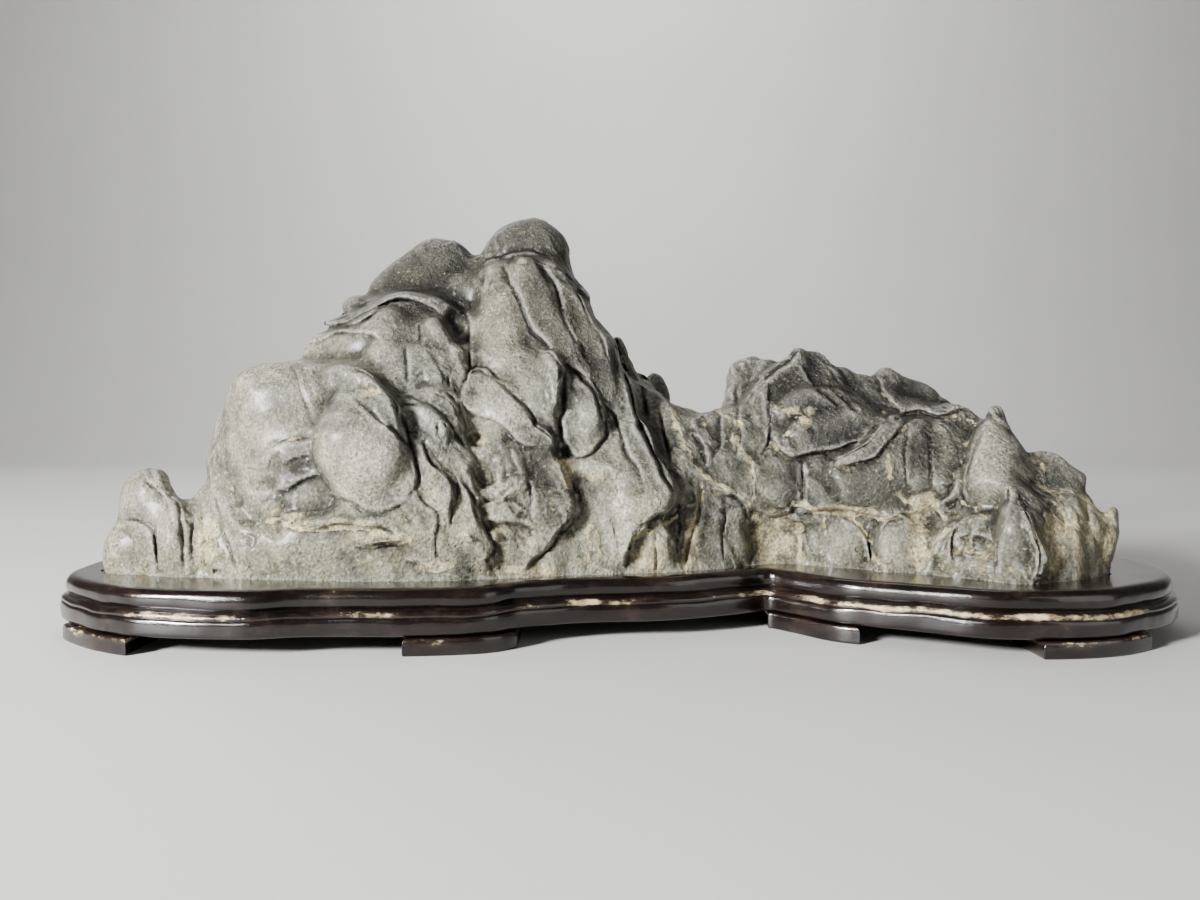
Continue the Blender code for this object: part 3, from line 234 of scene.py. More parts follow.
                           (41.4, 46.2, -26, 0.9), (44.6, 42.6, -24, 0.9), (48.6, 38, -20, 0.8),
                           (54, 36, -16, 0.7)]),
    ("vein_2", 1.2, 2, 0, [(28.4, 50, -27, 0.8), (26.4, 43, -28, 1.0), (25.4, 35, -29, 1.2),
                           (22.4, 27, -31, 1.6), (20.8, 17, -31, 2.2)]),
    ("vein_3", 1.2, 2, 0, [(38.8, 67.4, -19, 0.7), (41.6, 61.6, -22, 0.9), (45.2, 58, -23, 0.8),
                           (45.4, 51, -25, 0.9), (44.2, 45, -25, 0.8)]),
    ("cobble_1", 0.9, 1.9, 0, [(24.6, 66, -20, 2.8), (26.6, 60.6, -23, 2.6)]),
    ("cobble_2", 0.9, 1.9, 0, [(31.4, 71.6, -16, 3.2), (31, 66, -20, 3.2)]),
    ("cobble_3", 0.9, 2.0, 0, [(36, 58.6, -23, 5.4), (36.4, 53, -25, 4.6)]),
    ("cobble_4", 0.9, 1.9, 0, [(37, 74.6, -15, 2.2), (41.4, 71.4, -17, 2.8)]),
    ("cobble_5", 0.9, 1.9, 0, [(45.8, 79.6, -12, 3.6), (47.6, 72, -16, 3.4), (46.6, 64, -20, 3.6)]),
    ("cobble_6", 0.9, 1.9, 0, [(40.6, 65, -19, 2.4), (43, 62, -21, 2)]),
    ("cobble_7", 0.8, 1.8, 0, [(28.4, 73.6, -13, 2.2), (25, 71.6, -15, 2.2)]),
    ("pass_foot_1", 0.7, 2.1, 0, [(31.6, 44.6, -27, 3.6), (31, 33, -28, 5), (31, 17, -28, 6)]),
    ("pass_foot_2", 0.7, 2.1, 0, [(37.6, 40, -25, 3.6), (38.6, 30, -24, 5), (39, 17, -23, 6.5)]),
    ("pass_foot_3", 0.9, 1.8, 0, [(24, 34, -30, 2), (24, 26, -31, 2.4), (25, 16, -31, 3)]),
    ("pass_foot_4", 0.8, 2.0, 0, [(14.6, 31, -40, 3.2), (14.6, 24, -38, 4), (15, 16, -37, 5)]),
    ("pass_foot_5", 0.8, 2.0, 0, [(7, 33, -38, 2.6), (8.4, 24, -38, 4), (8, 16, -38, 5)]),
    # --- the right range
    ("bowl_lump", 0.75, 2.1, 0, [(54.6, 54.6, -23, 7), (54.4, 48.8, -26, 8.2)]),
    ("web_1", 1.1, 1.7, 0, [(47.6, 35, -17, 1.4), (49, 24, -15, 1.8), (49, 16, -15, 2)]),
    ("web_2", 1.1, 1.7, 0, [(54.6, 35, -14, 1.6), (53.8, 26, -13, 1.8), (54, 16, -13, 2)]),
    ("web_3", 1.1, 1.7, 0, [(60, 37, -17, 1.8), (60.8, 28, -16, 2), (62, 16, -16, 2.6)]),
    ("rear_shell", 0.9, 2.2, 0, [(45, 87.6, 3, 8), (43, 78, -4, 8)]),
    ("rear_shell_2", 0.9, 2.1, 0, [(50.6, 89.6, -3, 6), (48.6, 82, -8, 6)]),
    ("summit", 1.0, 1.7, 0, [(61, 96.2, -3, 3), (61, 89, -8, 6.4), (61.4, 80, -13, 8.6)]),
    ("summit_skirt", 0.7, 2.2, 0, [(56, 74, -17.5, 6), (64, 77, -17, 7.5), (72, 78, -14.5, 7),
                                   (79, 77.5, -12, 5)]),
    ("summit_west", 0.9, 1.7, 0, [(58, 93.6, -5, 2.4), (52.6, 88.4, -9, 3), (49, 82, -13, 3),
                                  (50.6, 72, -17, 2.4), (52.6, 66, -20, 1.8)]),
    ("summit_east", 0.9, 1.9, 0, [(66.4, 92.6, -1, 4.2), (70.6, 86, -6, 4.8), (75, 79, -11, 4.4),
                                  (78, 74, -14, 4)]),
    ("shoulder_1", 0.9, 2.0, 0, [(76, 85.6, -1, 4.8), (80.6, 79.6, -7, 4.4), (85.6, 73.6, -12, 3)]),
    ("shoulder_2", 0.9, 2.1, 0, [(84, 84, 0, 5), (89, 78.6, -4, 4.6), (93, 74.6, -7, 3.4)]),
    ("fold_east", 0.85, 2.1, 0.2, [(59.6, 63.6, -21, 3.2), (66, 68, -20, 6.4), (74, 71.4, -18, 7.6),
                                   (82, 73, -16, 5)]),
    ("strip_east", 0.75, 2.5, 0, [(75, 58.4, -25.5, 1.4), (81, 60.2, -26, 2.4), (86.5, 63, -25.5, 3),
                                  (90.6, 67, -22.5, 3.4), (94, 71.2, -18.5, 3.8)]),
    ("saddle", 0.7, 2.4, 0, [(80.6, 49.6, -27, 7.6), (90, 51, -28, 9.4), (96.6, 58, -26, 8),
                             (101, 66, -20, 6)]),
    ("ledge_east", 0.8, 2.0, 0, [(56, 39.6, -20, 3), (63.5, 39.8, -22.5, 3.6), (70, 40.4, -24.5, 3.2)]),
    ("block_1", 0.8, 2.3, 0, [(68.2, 55.6, -22, 3), (69, 47.6, -25, 4)]),
    ("slab_east", 0.7, 2.3, 0, [(103.4, 69, -18, 4.8), (103, 60, -24, 4.6), (104, 52, -29, 4)]),
    ("petal", 0.8, 2.1, 0.3, [(112.6, 68, -18, 4), (113, 59, -24, 5), (112.6, 50.6, -30, 3.6)]),
    ("crest_knob", 1, 2.0, 0, [(91, 88.6, 3, 3.2), (93.4, 86.4, 1, 3.6)]),
    ("crest_slab", 0.9, 2.2, 0, [(96.6, 82.6, 2, 6.6), (105, 79.6, 0, 6), (112.4, 75.6, -3, 4.2)]),
    ("crest_shell", 1.0, 1.8, 0, [(108, 75, -9, 1.6), (114, 76.6, -10, 2.2), (119.4, 76, -11, 2.4),
                                  (123, 72.6, -12, 1.8)]),
    ("crest_low", 0.8, 2.0, 0, [(118, 70.6, -13, 3.6), (117.6, 64, -18, 3)]),
    ("fang", 0.85, 1.9, 0.1, [(129.6, 72.7, -26, 4.2), (129.6, 69.5, -29, 6.6), (130.2, 65, -33, 8.8),
                              (131.2, 59, -38, 11), (132.6, 51.5, -44, 13.2)]),
    ("fang_rear", 0.9, 2.0, 0, [(145.6, 58.4, -30, 3.4), (152, 55.4, -33, 4.6), (157.4, 51.4, -36, 4.8),
                                (156.4, 46, -41, 5)]),
    ("tusk", 0.9, 1.7, -0.2, [(136.6, 49, -54, 3), (138.4, 43, -58, 6.6), (140.4, 34, -62, 9),
                              (141.6, 16, -63, 10)]),
    ("tusk_ridge", 1.0, 1.7, 0, [(141, 41, -61, 1.2), (144, 34, -65, 1.6), (146.6, 27, -66.5, 1.8),
                                 (147, 18, -66.5, 2.4)]),
    ("cheek_east", 0.8, 2.1, 0, [(149, 41, -49, 5), (150, 31, -55, 6.6), (150.6, 17, -59, 8)]),
    ("horn", 1.0, 1.8, 0, [(158, 44, -46, 2.6), (159, 35, -52, 4), (158.4, 18, -56, 5)]),
    ("end_fin_1", 1.2, 1.7, 0, [(164.2, 44.8, -38, 2.4), (165, 35, -45, 2.8), (164.6, 16, -50, 3.2)]),
    ("end_fin_2", 1.2, 1.7, 0, [(171.4, 41.6, -36, 1.9), (170.8, 31, -41, 2.9), (168, 16, -45, 3.6)]),
    ("end_fin_3", 1.2, 1.7, 0, [(169.6, 28, -27, 2.4), (167, 16, -32, 3.6)]),
    ("panel_1", 0.6, 2.8, 0, [(71.6, 29, -21, 8), (77, 28.6, -24, 8.6), (79, 16, -27, 9)]),
    ("panel_2", 0.6, 2.4, 0, [(96.4, 33, -32, 6.6), (97, 24, -36, 7.6), (97, 15, -38, 8)]),
    ("panel_rib", 1.0, 1.8, 0, [(113, 35, -39, 1.2), (110.4, 29, -41, 1.4), (107.4, 22, -42, 1.7),
                                (106, 15, -43, 2)]),
    ("panel_3", 0.7, 2.4, 0, [(118.6, 34, -43, 4), (119, 24, -47, 5.6), (119, 15, -49, 6)]),
    ("panel_4", 0.7, 2.6, 0, [(125.6, 36, -46, 4), (126, 30, -50, 4.6)]),
    ("panel_5", 0.7, 2.8, 0, [(124, 20.6, -54, 3.6), (129.6, 20.6, -57, 3.8)]),
    ("tooth", 0.9, 2.0, 0, [(132, 27.6, -57, 1.8), (133.6, 22, -60, 3), (134.6, 15, -61, 3.6)]),
]

# The heart of the stone, behind the folds: its parts' centres and half sizes, at their real places
HEARTS = [
    ((-163, -26, 20), (12, 12, 20)),
    ((-112, -12, 34), (32, 28, 38)),
    ((-82, 4, 54), (28, 30, 46)),
    ((-38, 8, 54), (34, 34, 66)),
    ((18, 14, 26), (38, 30, 36)),
    ((72, 18, 38), (34, 30, 40)),
    ((120, -2, 26), (32, 28, 32)),
    ((148, -28, 20), (16, 18, 22)),
]

# The masses of the back: runs of (x, z, depth counted from behind, half width)
BACK_MASSES = [
    [(-160, 20, 8, 16), (-130, 28, -12, 24), (-100, 34, -28, 29), (-60, 36, -42, 32), (-20, 34, -46, 29)],
    [(-24, 30, -46, 27), (20, 30, -44, 27), (64, 32, -42, 30), (100, 28, -30, 27), (132, 22, -8, 21),
     (154, 16, 10, 14)],
    [(-126, 60, -8, 20), (-98, 76, -20, 22), (-78, 94, -24, 22), (-68, 110, -24, 17)],
    [(-40, 78, -34, 28), (-36, 104, -26, 23), (-33, 121, -18, 17)],
    [(2, 52, -26, 17), (36, 52, -24, 18), (62, 66, -24, 20), (92, 62, -20, 18), (120, 50, -8, 15),
     (142, 38, 10, 12)],
]

# Where along x the back has ridges, how low they reach, and from how far behind the back is measured
BACK_LEFT = -170
BACK_RIGHT = 166
BACK_FOOT = 12
BACK_SIGHT = 300
SKYLINE_STEP = 3

# The ridges that run down the back, from the widest: how far apart, and how far each stands out
BACK_RIDGES = [(15.0, 3.2), (8.0, 2.0), (5.5, 1.2)]

# Creases cut in the front: half width, depth, how far the left side of the line stands out over the right,
# and the line (x, z)
CREASES = [
    # --- outcrop
    (0.9, 1.8, 0.0, [(-151, 44), (-150.5, 34), (-150.8, 20)]),
    (0.9, 1.8, 0.0, [(-147.5, 45), (-147, 33), (-146.4, 20)]),
    (0.9, 1.8, 0.2, [(-144, 48), (-142, 40), (-139.5, 32), (-137, 24), (-135.5, 19)]),
    (1.1, 1.6, -0.6, [(-177, 36.5), (-170, 37.5), (-165, 34), (-163, 27), (-163.5, 19)]),
    (1.0, 1.2, 0.3, [(-168, 54), (-166, 50), (-162, 47), (-159, 42), (-158, 34)]),
    (1.2, 1.6, 0.4, [(-156, 48), (-155, 40), (-154.5, 30), (-154, 19)]),
    # --- boulder
    (1.6, 0.35, 0.3, [(-116, 93), (-112.4, 84), (-110.4, 77), (-107.6, 70)]),
    (1.2, 0.3, 0.2, [(-112, 91), (-109, 84), (-108, 80)]),
    (1.3, 1.8, -0.9, [(-95, 79.5), (-92, 78.6), (-86, 72.6), (-80, 69), (-76, 65.5), (-73.5, 60), (-72, 55),
                      (-72.5, 50), (-75, 45)]),
    (1.1, 0.45, 0.45, [(-100, 77.5), (-104.4, 73), (-107, 66), (-107.2, 60), (-104.6, 52), (-99, 46)]),
    (1.2, 1.1, 0.6, [(-101, 47.6), (-99, 46), (-93, 42.4), (-86, 41), (-79, 42.4), (-75, 45)]),
    (1.5, 2.2, -0.9, [(-96, 90.5), (-87, 89), (-82, 82), (-78, 75), (-76, 68), (-74.6, 62)]),
    (0.9, 0.45, 0.5, [(-119, 56.5), (-114, 59.8), (-109, 60.3)]),
    (0.9, 0.6, 0.9, [(-122, 48), (-117, 49), (-113, 51.5), (-108, 53), (-105, 53)]),
    (0.9, 1.5, 0.6, [(-103, 47.4), (-99, 45.4), (-95, 43.4), (-90, 41.2)]),
    (0.7, 0.5, 0.3, [(-132, 56.4), (-127, 55.6), (-125, 56), (-123, 60), (-120, 61)]),
    (1.1, 1.4, 0.9, [(-128, 37), (-121, 38.8), (-116, 35.9), (-110, 34.6), (-104, 34.8), (-96, 35.6),
                     (-84, 34.6), (-78, 32)]),
    (1.0, 1.0, 0.8, [(-94, 28.4), (-85, 28.6), (-76, 28.8)]),
    (0.9, 1.2, 0.4, [(-78, 24.5), (-75, 23), (-71, 22), (-67, 20.3), (-63, 20.7)]),
    (1.2, 0.9, -0.3, [(-125, 63.5), (-118, 65.6), (-112, 66.6), (-107, 67.5)]),
    # --- slope
    (1.3, 2.2, 1.3, [(-104, 104.6), (-97, 105.8), (-92, 107), (-87, 110), (-82, 113.4), (-77, 114.6),
                     (-72, 114), (-67, 112), (-62, 107.6)]),
    (0.9, 1.3, 0.0, [(-71, 106), (-71, 99)]),
    (1.0, 1.8, 0.6, [(-69, 98.5), (-65, 94), (-62, 89), (-61, 84)]),
    (0.9, 1.3, 0.5, [(-66, 83), (-64, 82), (-60, 80), (-58, 76)]),
    (1.1, 1.9, -0.7, [(-79, 77), (-77.5, 77.5), (-73, 79), (-68, 77.5), (-64, 75), (-61, 71), (-57, 66),
                      (-54, 62)]),
    (0.8, 1.1, 0.0, [(-65, 72), (-64, 66), (-62.5, 61)]),
    (1.2, 1.9, 0.7, [(-75.6, 99), (-75.8, 92), (-75, 85)]),
    (1.1, 1.3, -0.7, [(-71, 67), (-69, 62), (-66, 57.5), (-62, 54), (-59, 50.5), (-58.5, 46), (-60, 41),
                      (-61, 36)]),
    (1.1, 1.6, -0.9, [(-57, 54), (-56, 50), (-53.5, 46), (-52, 42), (-50, 37), (-47.5, 33), (-45, 28),
                      (-46.7, 24), (-47, 20)]),
    (0.9, 1.2, -0.4, [(-73, 50), (-70, 44), (-66, 40), (-65, 34), (-66, 27), (-65, 20)]),
    (1.0, 1.2, 0.5, [(-108, 99), (-100, 103), (-92, 103), (-84, 100)]),
    (1.0, 1.5, 0.5, [(-57, 112), (-54, 105), (-53.6, 97), (-54, 90), (-56, 84), (-57, 76), (-55, 66)]),
    # --- peak
    (1.2, 1.0, -0.8, [(-49, 124), (-47, 128), (-42.5, 129.8), (-38.6, 131.2), (-31.7, 131.2),
                      (-27.7, 129.4), (-23.8, 129), (-19.8, 126.5), (-15.9, 123.5), (-12, 119)]),
    (1.4, 2.2, 0.7, [(-43, 128.5), (-42.2, 126.4), (-39.6, 122), (-36.6, 115.1), (-33.7, 108.2),
                     (-31.2, 102.8), (-26.7, 98.4), (-21.8, 93.4), (-15, 89), (-10, 85), (-8, 81)]),
    (1.4, 1.4, 0.6, [(-29.6, 130.5), (-28.3, 128), (-25.8, 123), (-22.2, 116.5), (-20.5, 109), (-17, 102),
                     (-12, 96)]),
    (1.2, 1.2, 0.5, [(-20, 126), (-15.5, 117), (-11, 108), (-7, 100), (-4, 92)]),
    (1.4, 2.6, -1.3, [(-4, 104), (-2.5, 100), (0, 93), (1, 86), (3, 80), (5, 74), (7, 69), (10, 62),
                      (13, 57), (15, 52), (18, 47), (20, 44)]),
    (1.3, 2.2, -1.3, [(20, 43), (18, 40), (12, 39), (8, 35), (5, 30), (2, 26), (1, 20)]),
    (1.1, 1.9, 0.5, [(-10, 82), (-8.5, 79), (-4, 75), (-2, 70), (0, 64), (2, 60), (4.5, 56), (6, 50)]),
    (1.5, 3.6, 0.5, [(-21.5, 93), (-20.8, 85), (-20.5, 76), (-22.5, 72), (-21, 64)]),
    (1.1, 1.8, -0.8, [(-56, 88), (-53, 90), (-48, 90), (-44, 87), (-41, 84), (-36, 79), (-32, 74),
                      (-28, 70), (-22, 66)]),
    (1.0, 1.5, 1.0, [(-56, 80), (-54, 76), (-50, 74), (-45, 72), (-40, 67.5), (-35, 64.5), (-30, 63)]),
    (1.1, 1.7, -0.7, [(-17, 90), (-12, 85), (-9, 80), (-7, 74), (-6, 68), (-8, 64), (-11, 60.5),
                      (-16, 59.4), (-19, 63)]),
    (0.9, 1.2, 0.5, [(-36, 51), (-33.4, 50.1), (-32, 44.2), (-33, 40.2), (-30.5, 35.3)]),
    (1.2, 1.9, -1.0, [(-22, 60), (-20, 54), (-17, 48), (-15.5, 43), (-15.5, 39), (-19, 35.5), (-23, 32),
                      (-25, 28), (-29, 26), (-32, 22.5), (-34, 19)]),
    (0.8, 0.5, -0.5, [(-51.3, 43.4), (-47, 44.6), (-42.4, 46.4), (-39, 48.6), (-36.4, 50.4)]),
    (0.8, 0.8, 0.9, [(-49, 37.6), (-44, 37), (-38, 36.4), (-30.5, 34.4)]),
    (0.7, 0.5, -0.6, [(-44.3, 43.2), (-38.4, 44.2), (-33.5, 39.2)]),
    (0.7, 0.5, 0.5, [(-40.4, 63.4), (-37, 57), (-36, 53)]),
    (0.8, 0.8, -0.5, [(-3.9, 39), (-3, 32), (-1.9, 24)]),
    # --- pass
    (1.1, 2.6, 0.0, [(13, 76), (15, 65), (16, 57)]),
    (2.2, 4.0, 0.0, [(7, 92), (7.5, 80), (6.5, 69)]),
    (1.2, 2.0, 0.8, [(24, 71), (27, 65), (29, 60), (28, 56)]),
    (1.1, 1.8, 0.4, [(33.6, 79), (34, 71), (33.6, 64), (31, 58)]),
    (1.1, 1.8, 0.4, [(39.4, 86), (40, 75), (41.5, 67), (39, 60)]),
    (1.0, 1.6, -0.4, [(50.8, 86), (51, 75), (51.5, 66), (48, 60)]),
    (1.1, 1.8, 0.8, [(31, 48), (36, 47), (41, 45), (44, 41)]),
    (1.3, 2.6, 0.6, [(28, 50), (26.8, 42), (25.6, 35), (22.6, 27), (21.4, 19)]),
    (1.0, 1.6, 0.0, [(35, 43), (35, 34), (35, 22)]),
    (1.0, 1.6, 0.0, [(43, 42), (44, 33), (44.6, 22)]),
    (1.1, 2.0, 0.0, [(11, 34), (11.6, 26), (11.6, 18)]),
    (1.1, 1.8, 0.0, [(19, 46), (20, 38), (18.4, 28), (18.6, 19)]),
    # --- right range
    (1.1, 2.0, 0.0, [(62.8, 59), (63.2, 50), (63, 43)]),
    (1.2, 2.2, 1.1, [(45, 41.4), (49, 39.6), (53, 38.8), (58, 39.6), (61, 42)]),
    (1.2, 2.4, 1.3, [(51, 68), (53, 65), (55, 61.6), (60, 59.6), (67, 61.4), (75, 62.5), (83, 64.5),
                     (86.4, 68), (89, 73)]),
    (1.0, 1.4, 1.0, [(74, 56), (80, 57.2), (87.4, 59.6), (92.6, 64), (96, 68.6), (100, 73)]),
    (1.1, 1.8, 0.5, [(88, 88), (91, 82), (95, 77.5), (97.5, 74.5)]),
    (1.2, 2.2, 1.1, [(95, 73), (97, 74), (104, 76), (108, 74.6), (113, 74), (118, 76.4), (122, 75.6)]),
    (1.2, 1.8, 1.2, [(61, 39), (63, 40), (68, 41), (75, 41.4), (85, 39.4), (90, 38.6), (97, 39.4),
                     (103, 39.4), (108, 42)]),
    (1.0, 1.5, 0.0, [(99.4, 73), (98.4, 62), (99.4, 50)]),
    (1.0, 1.5, 0.0, [(108, 72), (107.4, 60), (108, 48)]),
    (1.2, 2.0, 1.0, [(126.4, 71), (124, 64), (121.4, 56), (119.6, 48), (119.4, 40)]),
    (1.1, 1.3, -0.7, [(137.4, 69), (142, 63), (146.4, 57), (149, 50)]),
    (1.1, 1.8, 0.9, [(136, 53), (133, 42), (131.2, 32), (131, 19)]),
    (1.0, 1.5, -0.7, [(136.8, 52), (141, 42), (145, 32), (147.4, 19)]),
    (1.1, 1.8, 0.6, [(150, 47.4), (152, 48), (156, 47.5), (160, 44), (163, 38), (164, 30)]),
    (1.0, 1.1, -0.9, [(119.6, 26), (126, 25.8), (131, 25)]),
    (1.0, 1.6, 0.0, [(154, 44), (154.6, 34), (154, 19)]),
    (1.1, 1.8, 0.0, [(162.6, 46), (162.4, 34), (161.6, 19)]),
    (1.1, 1.8, 0.0, [(168, 43), (168, 32), (166.4, 19)]),
    (1.1, 2.4, -1.3, [(76, 38.6), (80.8, 37), (84, 33), (87, 28), (89, 19)]),
    (1.1, 2.2, 0.8, [(110.4, 42), (113.6, 36), (110, 30), (104.6, 20.6)]),
    (0.9, 1.6, -0.9, [(117.4, 36), (115, 31), (115.6, 22)]),
    (0.9, 1.3, 0.9, [(117, 31), (124, 32), (130, 29.5)]),
    (1.0, 1.2, 0.9, [(62, 97.5), (58, 93.6), (53, 89.6), (48.6, 87)]),
    (0.9, 0.7, -0.9, [(62, 92), (66, 86), (70, 81.6), (75.6, 77)]),
    (0.8, 0.5, -0.6, [(70, 88), (74, 83), (78, 79), (83, 74)]),
    (1.1, 1.7, 0.8, [(117.4, 57), (116, 50), (112, 45), (106, 43)]),
]

# Hollows in the front, and beads, whose depth is less than nothing: centre (x, z), half sizes and depth
HOLLOWS = [
    (-122.4, 41.6, 3.4, 2.6, -1.5), (-116.4, 38.6, 2.4, 1.9, -1.3), (-111.6, 36.8, 2.6, 2.0, -1.4),
    (-106.8, 36.9, 2.4, 1.9, -1.1), (-99.6, 37.4, 4.4, 1.9, -1.3), (-89, 37.4, 6, 2.0, -1.2),
    (-44.6, 32.6, 1.9, 1.8, -1.6), (-50, 45, 1.1, 1.1, -1.2), (-53.6, 30.8, 1.1, 1.1, -1.2),
    (-35.4, 128.4, 3.0, 1.6, -0.9), (-85.5, 30, 7.5, 1.3, -1.0), (-112.6, 55.6, 4.4, 2.6, 0.6),
    (-142, 19.8, 1.4, 1.3, 2.5), (-52, 66, 3.2, 2.6, 1.6), (-20.4, 61.6, 1.9, 3.0, 2.2),
    (-18.6, 60, 1.6, 1.5, 1.0), (-58.5, 107, 4, 6, 2.2), (101, 26, 2.4, 2.4, 1.0),
    (58.6, 71.6, 3, 3.6, 0.8), (125, 31, 3.4, 4, 1.4), (151.5, 38, 5, 8, 1.8), (-126, 50.5, 6, 3.4, 1.0),
    (24, 44, 3, 5, 1.0), (116, 44, 3, 2.4, 1.4), (-88, 84, 3, 2.4, 0.8),
]

# Places the front leaves smooth: centre (x, z) and reach
SMOOTH_PLACES = [
    (-112, 68, 30), (-90, 59, 17), (-72, 122, 19), (-34, 138, 11), (-42, 77, 10), (-13, 74, 7),
    (88, 52, 12), (131, 62, 9), (-105, 26, 20), (-170, 40, 13), (-94, 98, 15), (-79, 97, 9), (-32, 112, 12),
    (-43, 110, 11), (-45, 98, 9), (-17, 104, 10), (-7, 88, 8), (6, 64, 8), (12, 46, 7), (60, 84, 9),
    (74, 70, 9), (104, 60, 7), (113, 60, 6), (53, 52, 8), (77, 29, 9), (97, 27, 7), (138, 34, 8),
    (150, 31, 7), (100, 80, 8), (-66, 50, 7), (-57, 40, 7), (-70, 28, 7), (-38, 86, 9), (32, 31, 6),
    (152, 52, 6),
]

# Pale veins over the front: half width and the line (x, z)
VEINS = [
    (0.7, [(-126, 62.5), (-118, 65.6), (-112, 66.6), (-107, 67.5)]),
    (0.8, [(17, 78), (18, 74), (20, 68), (23, 61), (27, 55), (30, 52), (35, 49.5), (40, 47), (44, 44),
           (46, 40), (48, 37)]),
    (0.8, [(28, 50), (26.5, 42), (25, 37), (22, 28), (21, 20)]),
    (0.6, [(33, 76), (37, 73.6), (42, 71)]),
    (0.6, [(52.5, 77.6), (57, 76), (62, 75)]),
    (0.7, [(64, 73), (60, 69.4), (56.4, 67)]),
    (0.8, [(38, 67), (42, 62), (45, 57), (46.5, 51), (46, 45)]),
    (1.0, [(110.2, 42.4), (113.5, 36), (110, 30), (104.5, 20.5)]),
    (0.8, [(80.8, 39.8), (83.4, 34.6), (87, 29), (89.3, 22.8)]),
    (0.9, [(61.2, 37), (62.5, 30), (62.5, 23)]),
    (0.6, [(71, 38), (70.6, 30), (71, 21)]),
    (1.0, [(60, 43), (68, 41.6), (75, 41.4), (85, 39.8), (91, 38), (98, 40), (103, 40)]),
    (0.7, [(93, 60), (94, 52), (98, 45), (103, 43)]),
    (0.6, [(119, 44), (124, 41), (127, 38)]),
    (0.7, [(116, 74), (121, 72.6), (124, 71)]),
    (0.7, [(2, 30), (9, 33.5), (14, 35.6), (19, 39)]),
    (0.8, [(-128, 36.6), (-121, 38.2), (-116, 35.2), (-108, 34), (-96, 34.8), (-84, 33.6)]),
    (0.7, [(-7.6, 24), (-9, 32), (-12, 36), (-12, 24)]),
]

# Where a cream crust has gathered: centre (x, z) and half sizes
DEPOSITS = [
    (53, 29, 9, 12), (64, 73, 3.2, 5.5), (60.5, 76.5, 3, 1.6), (106, 44, 5, 5), (103, 31, 4, 11),
    (-50, 67, 4, 4), (-84, 31, 13, 2.4), (-146, 30, 5, 13), (10, 24, 9, 6), (152, 32, 6, 15),
    (-35.5, 128.2, 2.6, 1.5), (-94, 36, 14, 2), (-116, 38, 5, 3), (-122.4, 41.6, 4, 3),
    (-111, 36.6, 4, 2.4), (-99, 37.2, 5, 2.4), (-86, 30, 8, 2), (-89, 83, 5, 2.6), (-20, 57, 5, 3),
    (-43, 33, 3, 3), (-10, 53, 7, 3), (77, 41, 12, 2), (126, 22, 3, 5), (-19, 53, 4, 5), (24, 30, 3, 9),
    (161, 33, 5, 16), (169, 34, 5, 15), (-66, 21, 8, 2), (-32, 20, 12, 2),
]

# Where the stone is darker and browner: partly stains, and partly painted shade, chiefly on the rear dome,
# the cap and in the hollow under the visor
STAINS_AND_SHADE = [
    (-74, 127, 30, 22), (-34, 138, 19, 15), (-26, 112, 14, 20), (-62, 112, 12, 7), (-24, 46, 9, 14),
    (-8, 90, 14, 14), (-117, 55, 10, 8), (30, 66, 9, 8), (60, 50, 9, 8), (85, 52, 16, 10), (66, 84, 20, 16),
    (98, 80, 18, 9), (139, 42, 5, 8), (-33, 60, 14, 12), (104, 62, 7, 12), (12, 62, 9, 13),
    (-100, 110, 10, 8),
]

# Where the stone is paler: partly paler stone, and partly painted light on the left outcrop, the knob and the
# right end
PALE_AND_LIT = [
    (129, 58, 7, 14), (-152, 38, 14, 16), (163, 30, 13, 18), (-89, 56, 12, 15), (-48, 74, 9, 8),
    (-5, 34, 12, 14), (97, 29, 8, 7), (76, 31, 7, 8),
]

# Where the stone is counted as low, high or eastern, and over what length each comes in. The high mark
# darkens the upper parts as painted shade.
LOW_FROM = 58
LOW_FADE = 38
HIGH_FROM = 88
HIGH_FADE = 45
EAST_FROM = 4
EAST_FADE = 26


def in_front_view(x, z, y):
    """The world points at depth y that show at (x, z) of the front elevation."""
    on_plane = np.stack([x, np.full_like(x, ELEVATION_Y), z], axis=-1)
    reach = (y - EYE[1]) / (ELEVATION_Y - EYE[1])
    return EYE + (on_plane - EYE) * reach[:, None]


def on_elevation(points):
    """Where on the front elevation the points show, as x and z."""
    reach = (ELEVATION_Y - EYE[1]) / (points[:, 1] - EYE[1])
    return EYE[0] + (points[:, 0] - EYE[0]) * reach, EYE[2] + (points[:, 2] - EYE[2]) * reach


def in_back_view(x, z, y):
    """The world points of a ridge of the back, whose depth is counted from behind."""
    return np.stack([x, -y, z], axis=-1)


def smooth_run(points, steps):
    """A smooth run through the points, with so many steps from each to the next."""
    points = np.array(points, float)
    ends = np.vstack([2 * points[0] - points[1], points, 2 * points[-1] - points[-2]])
    t = np.arange(steps)[:, None] / steps
    run = []
    for a, b, c, d in zip(ends, ends[1:], ends[2:], ends[3:]):
        bend = (2 * a - 5 * b + 4 * c - d) * t**2
        turn = (3 * b - a - 3 * c + d) * t**3
        run.append(b + ((c - a) * t + bend + turn) / 2)
    return np.vstack(run + [points[-1:]])


def signed_power(values, power):
    return np.sign(values) * np.abs(values) ** power


def wander(x, z, length, seed):
    """A smooth random field of about unit size: a few plane waves of nearly this wavelength."""
    rng = np.random.default_rng(seed)
    total = np.zeros_like(x)
    for _ in range(7):
        heading = rng.uniform(0, math.tau)
        wave = math.tau / (length * rng.uniform(0.6, 1.6))
        phase = rng.uniform(0, math.tau)
        total += np.sin(wave * (x * math.cos(heading) + z * math.sin(heading)) + phase)
    return total / 2


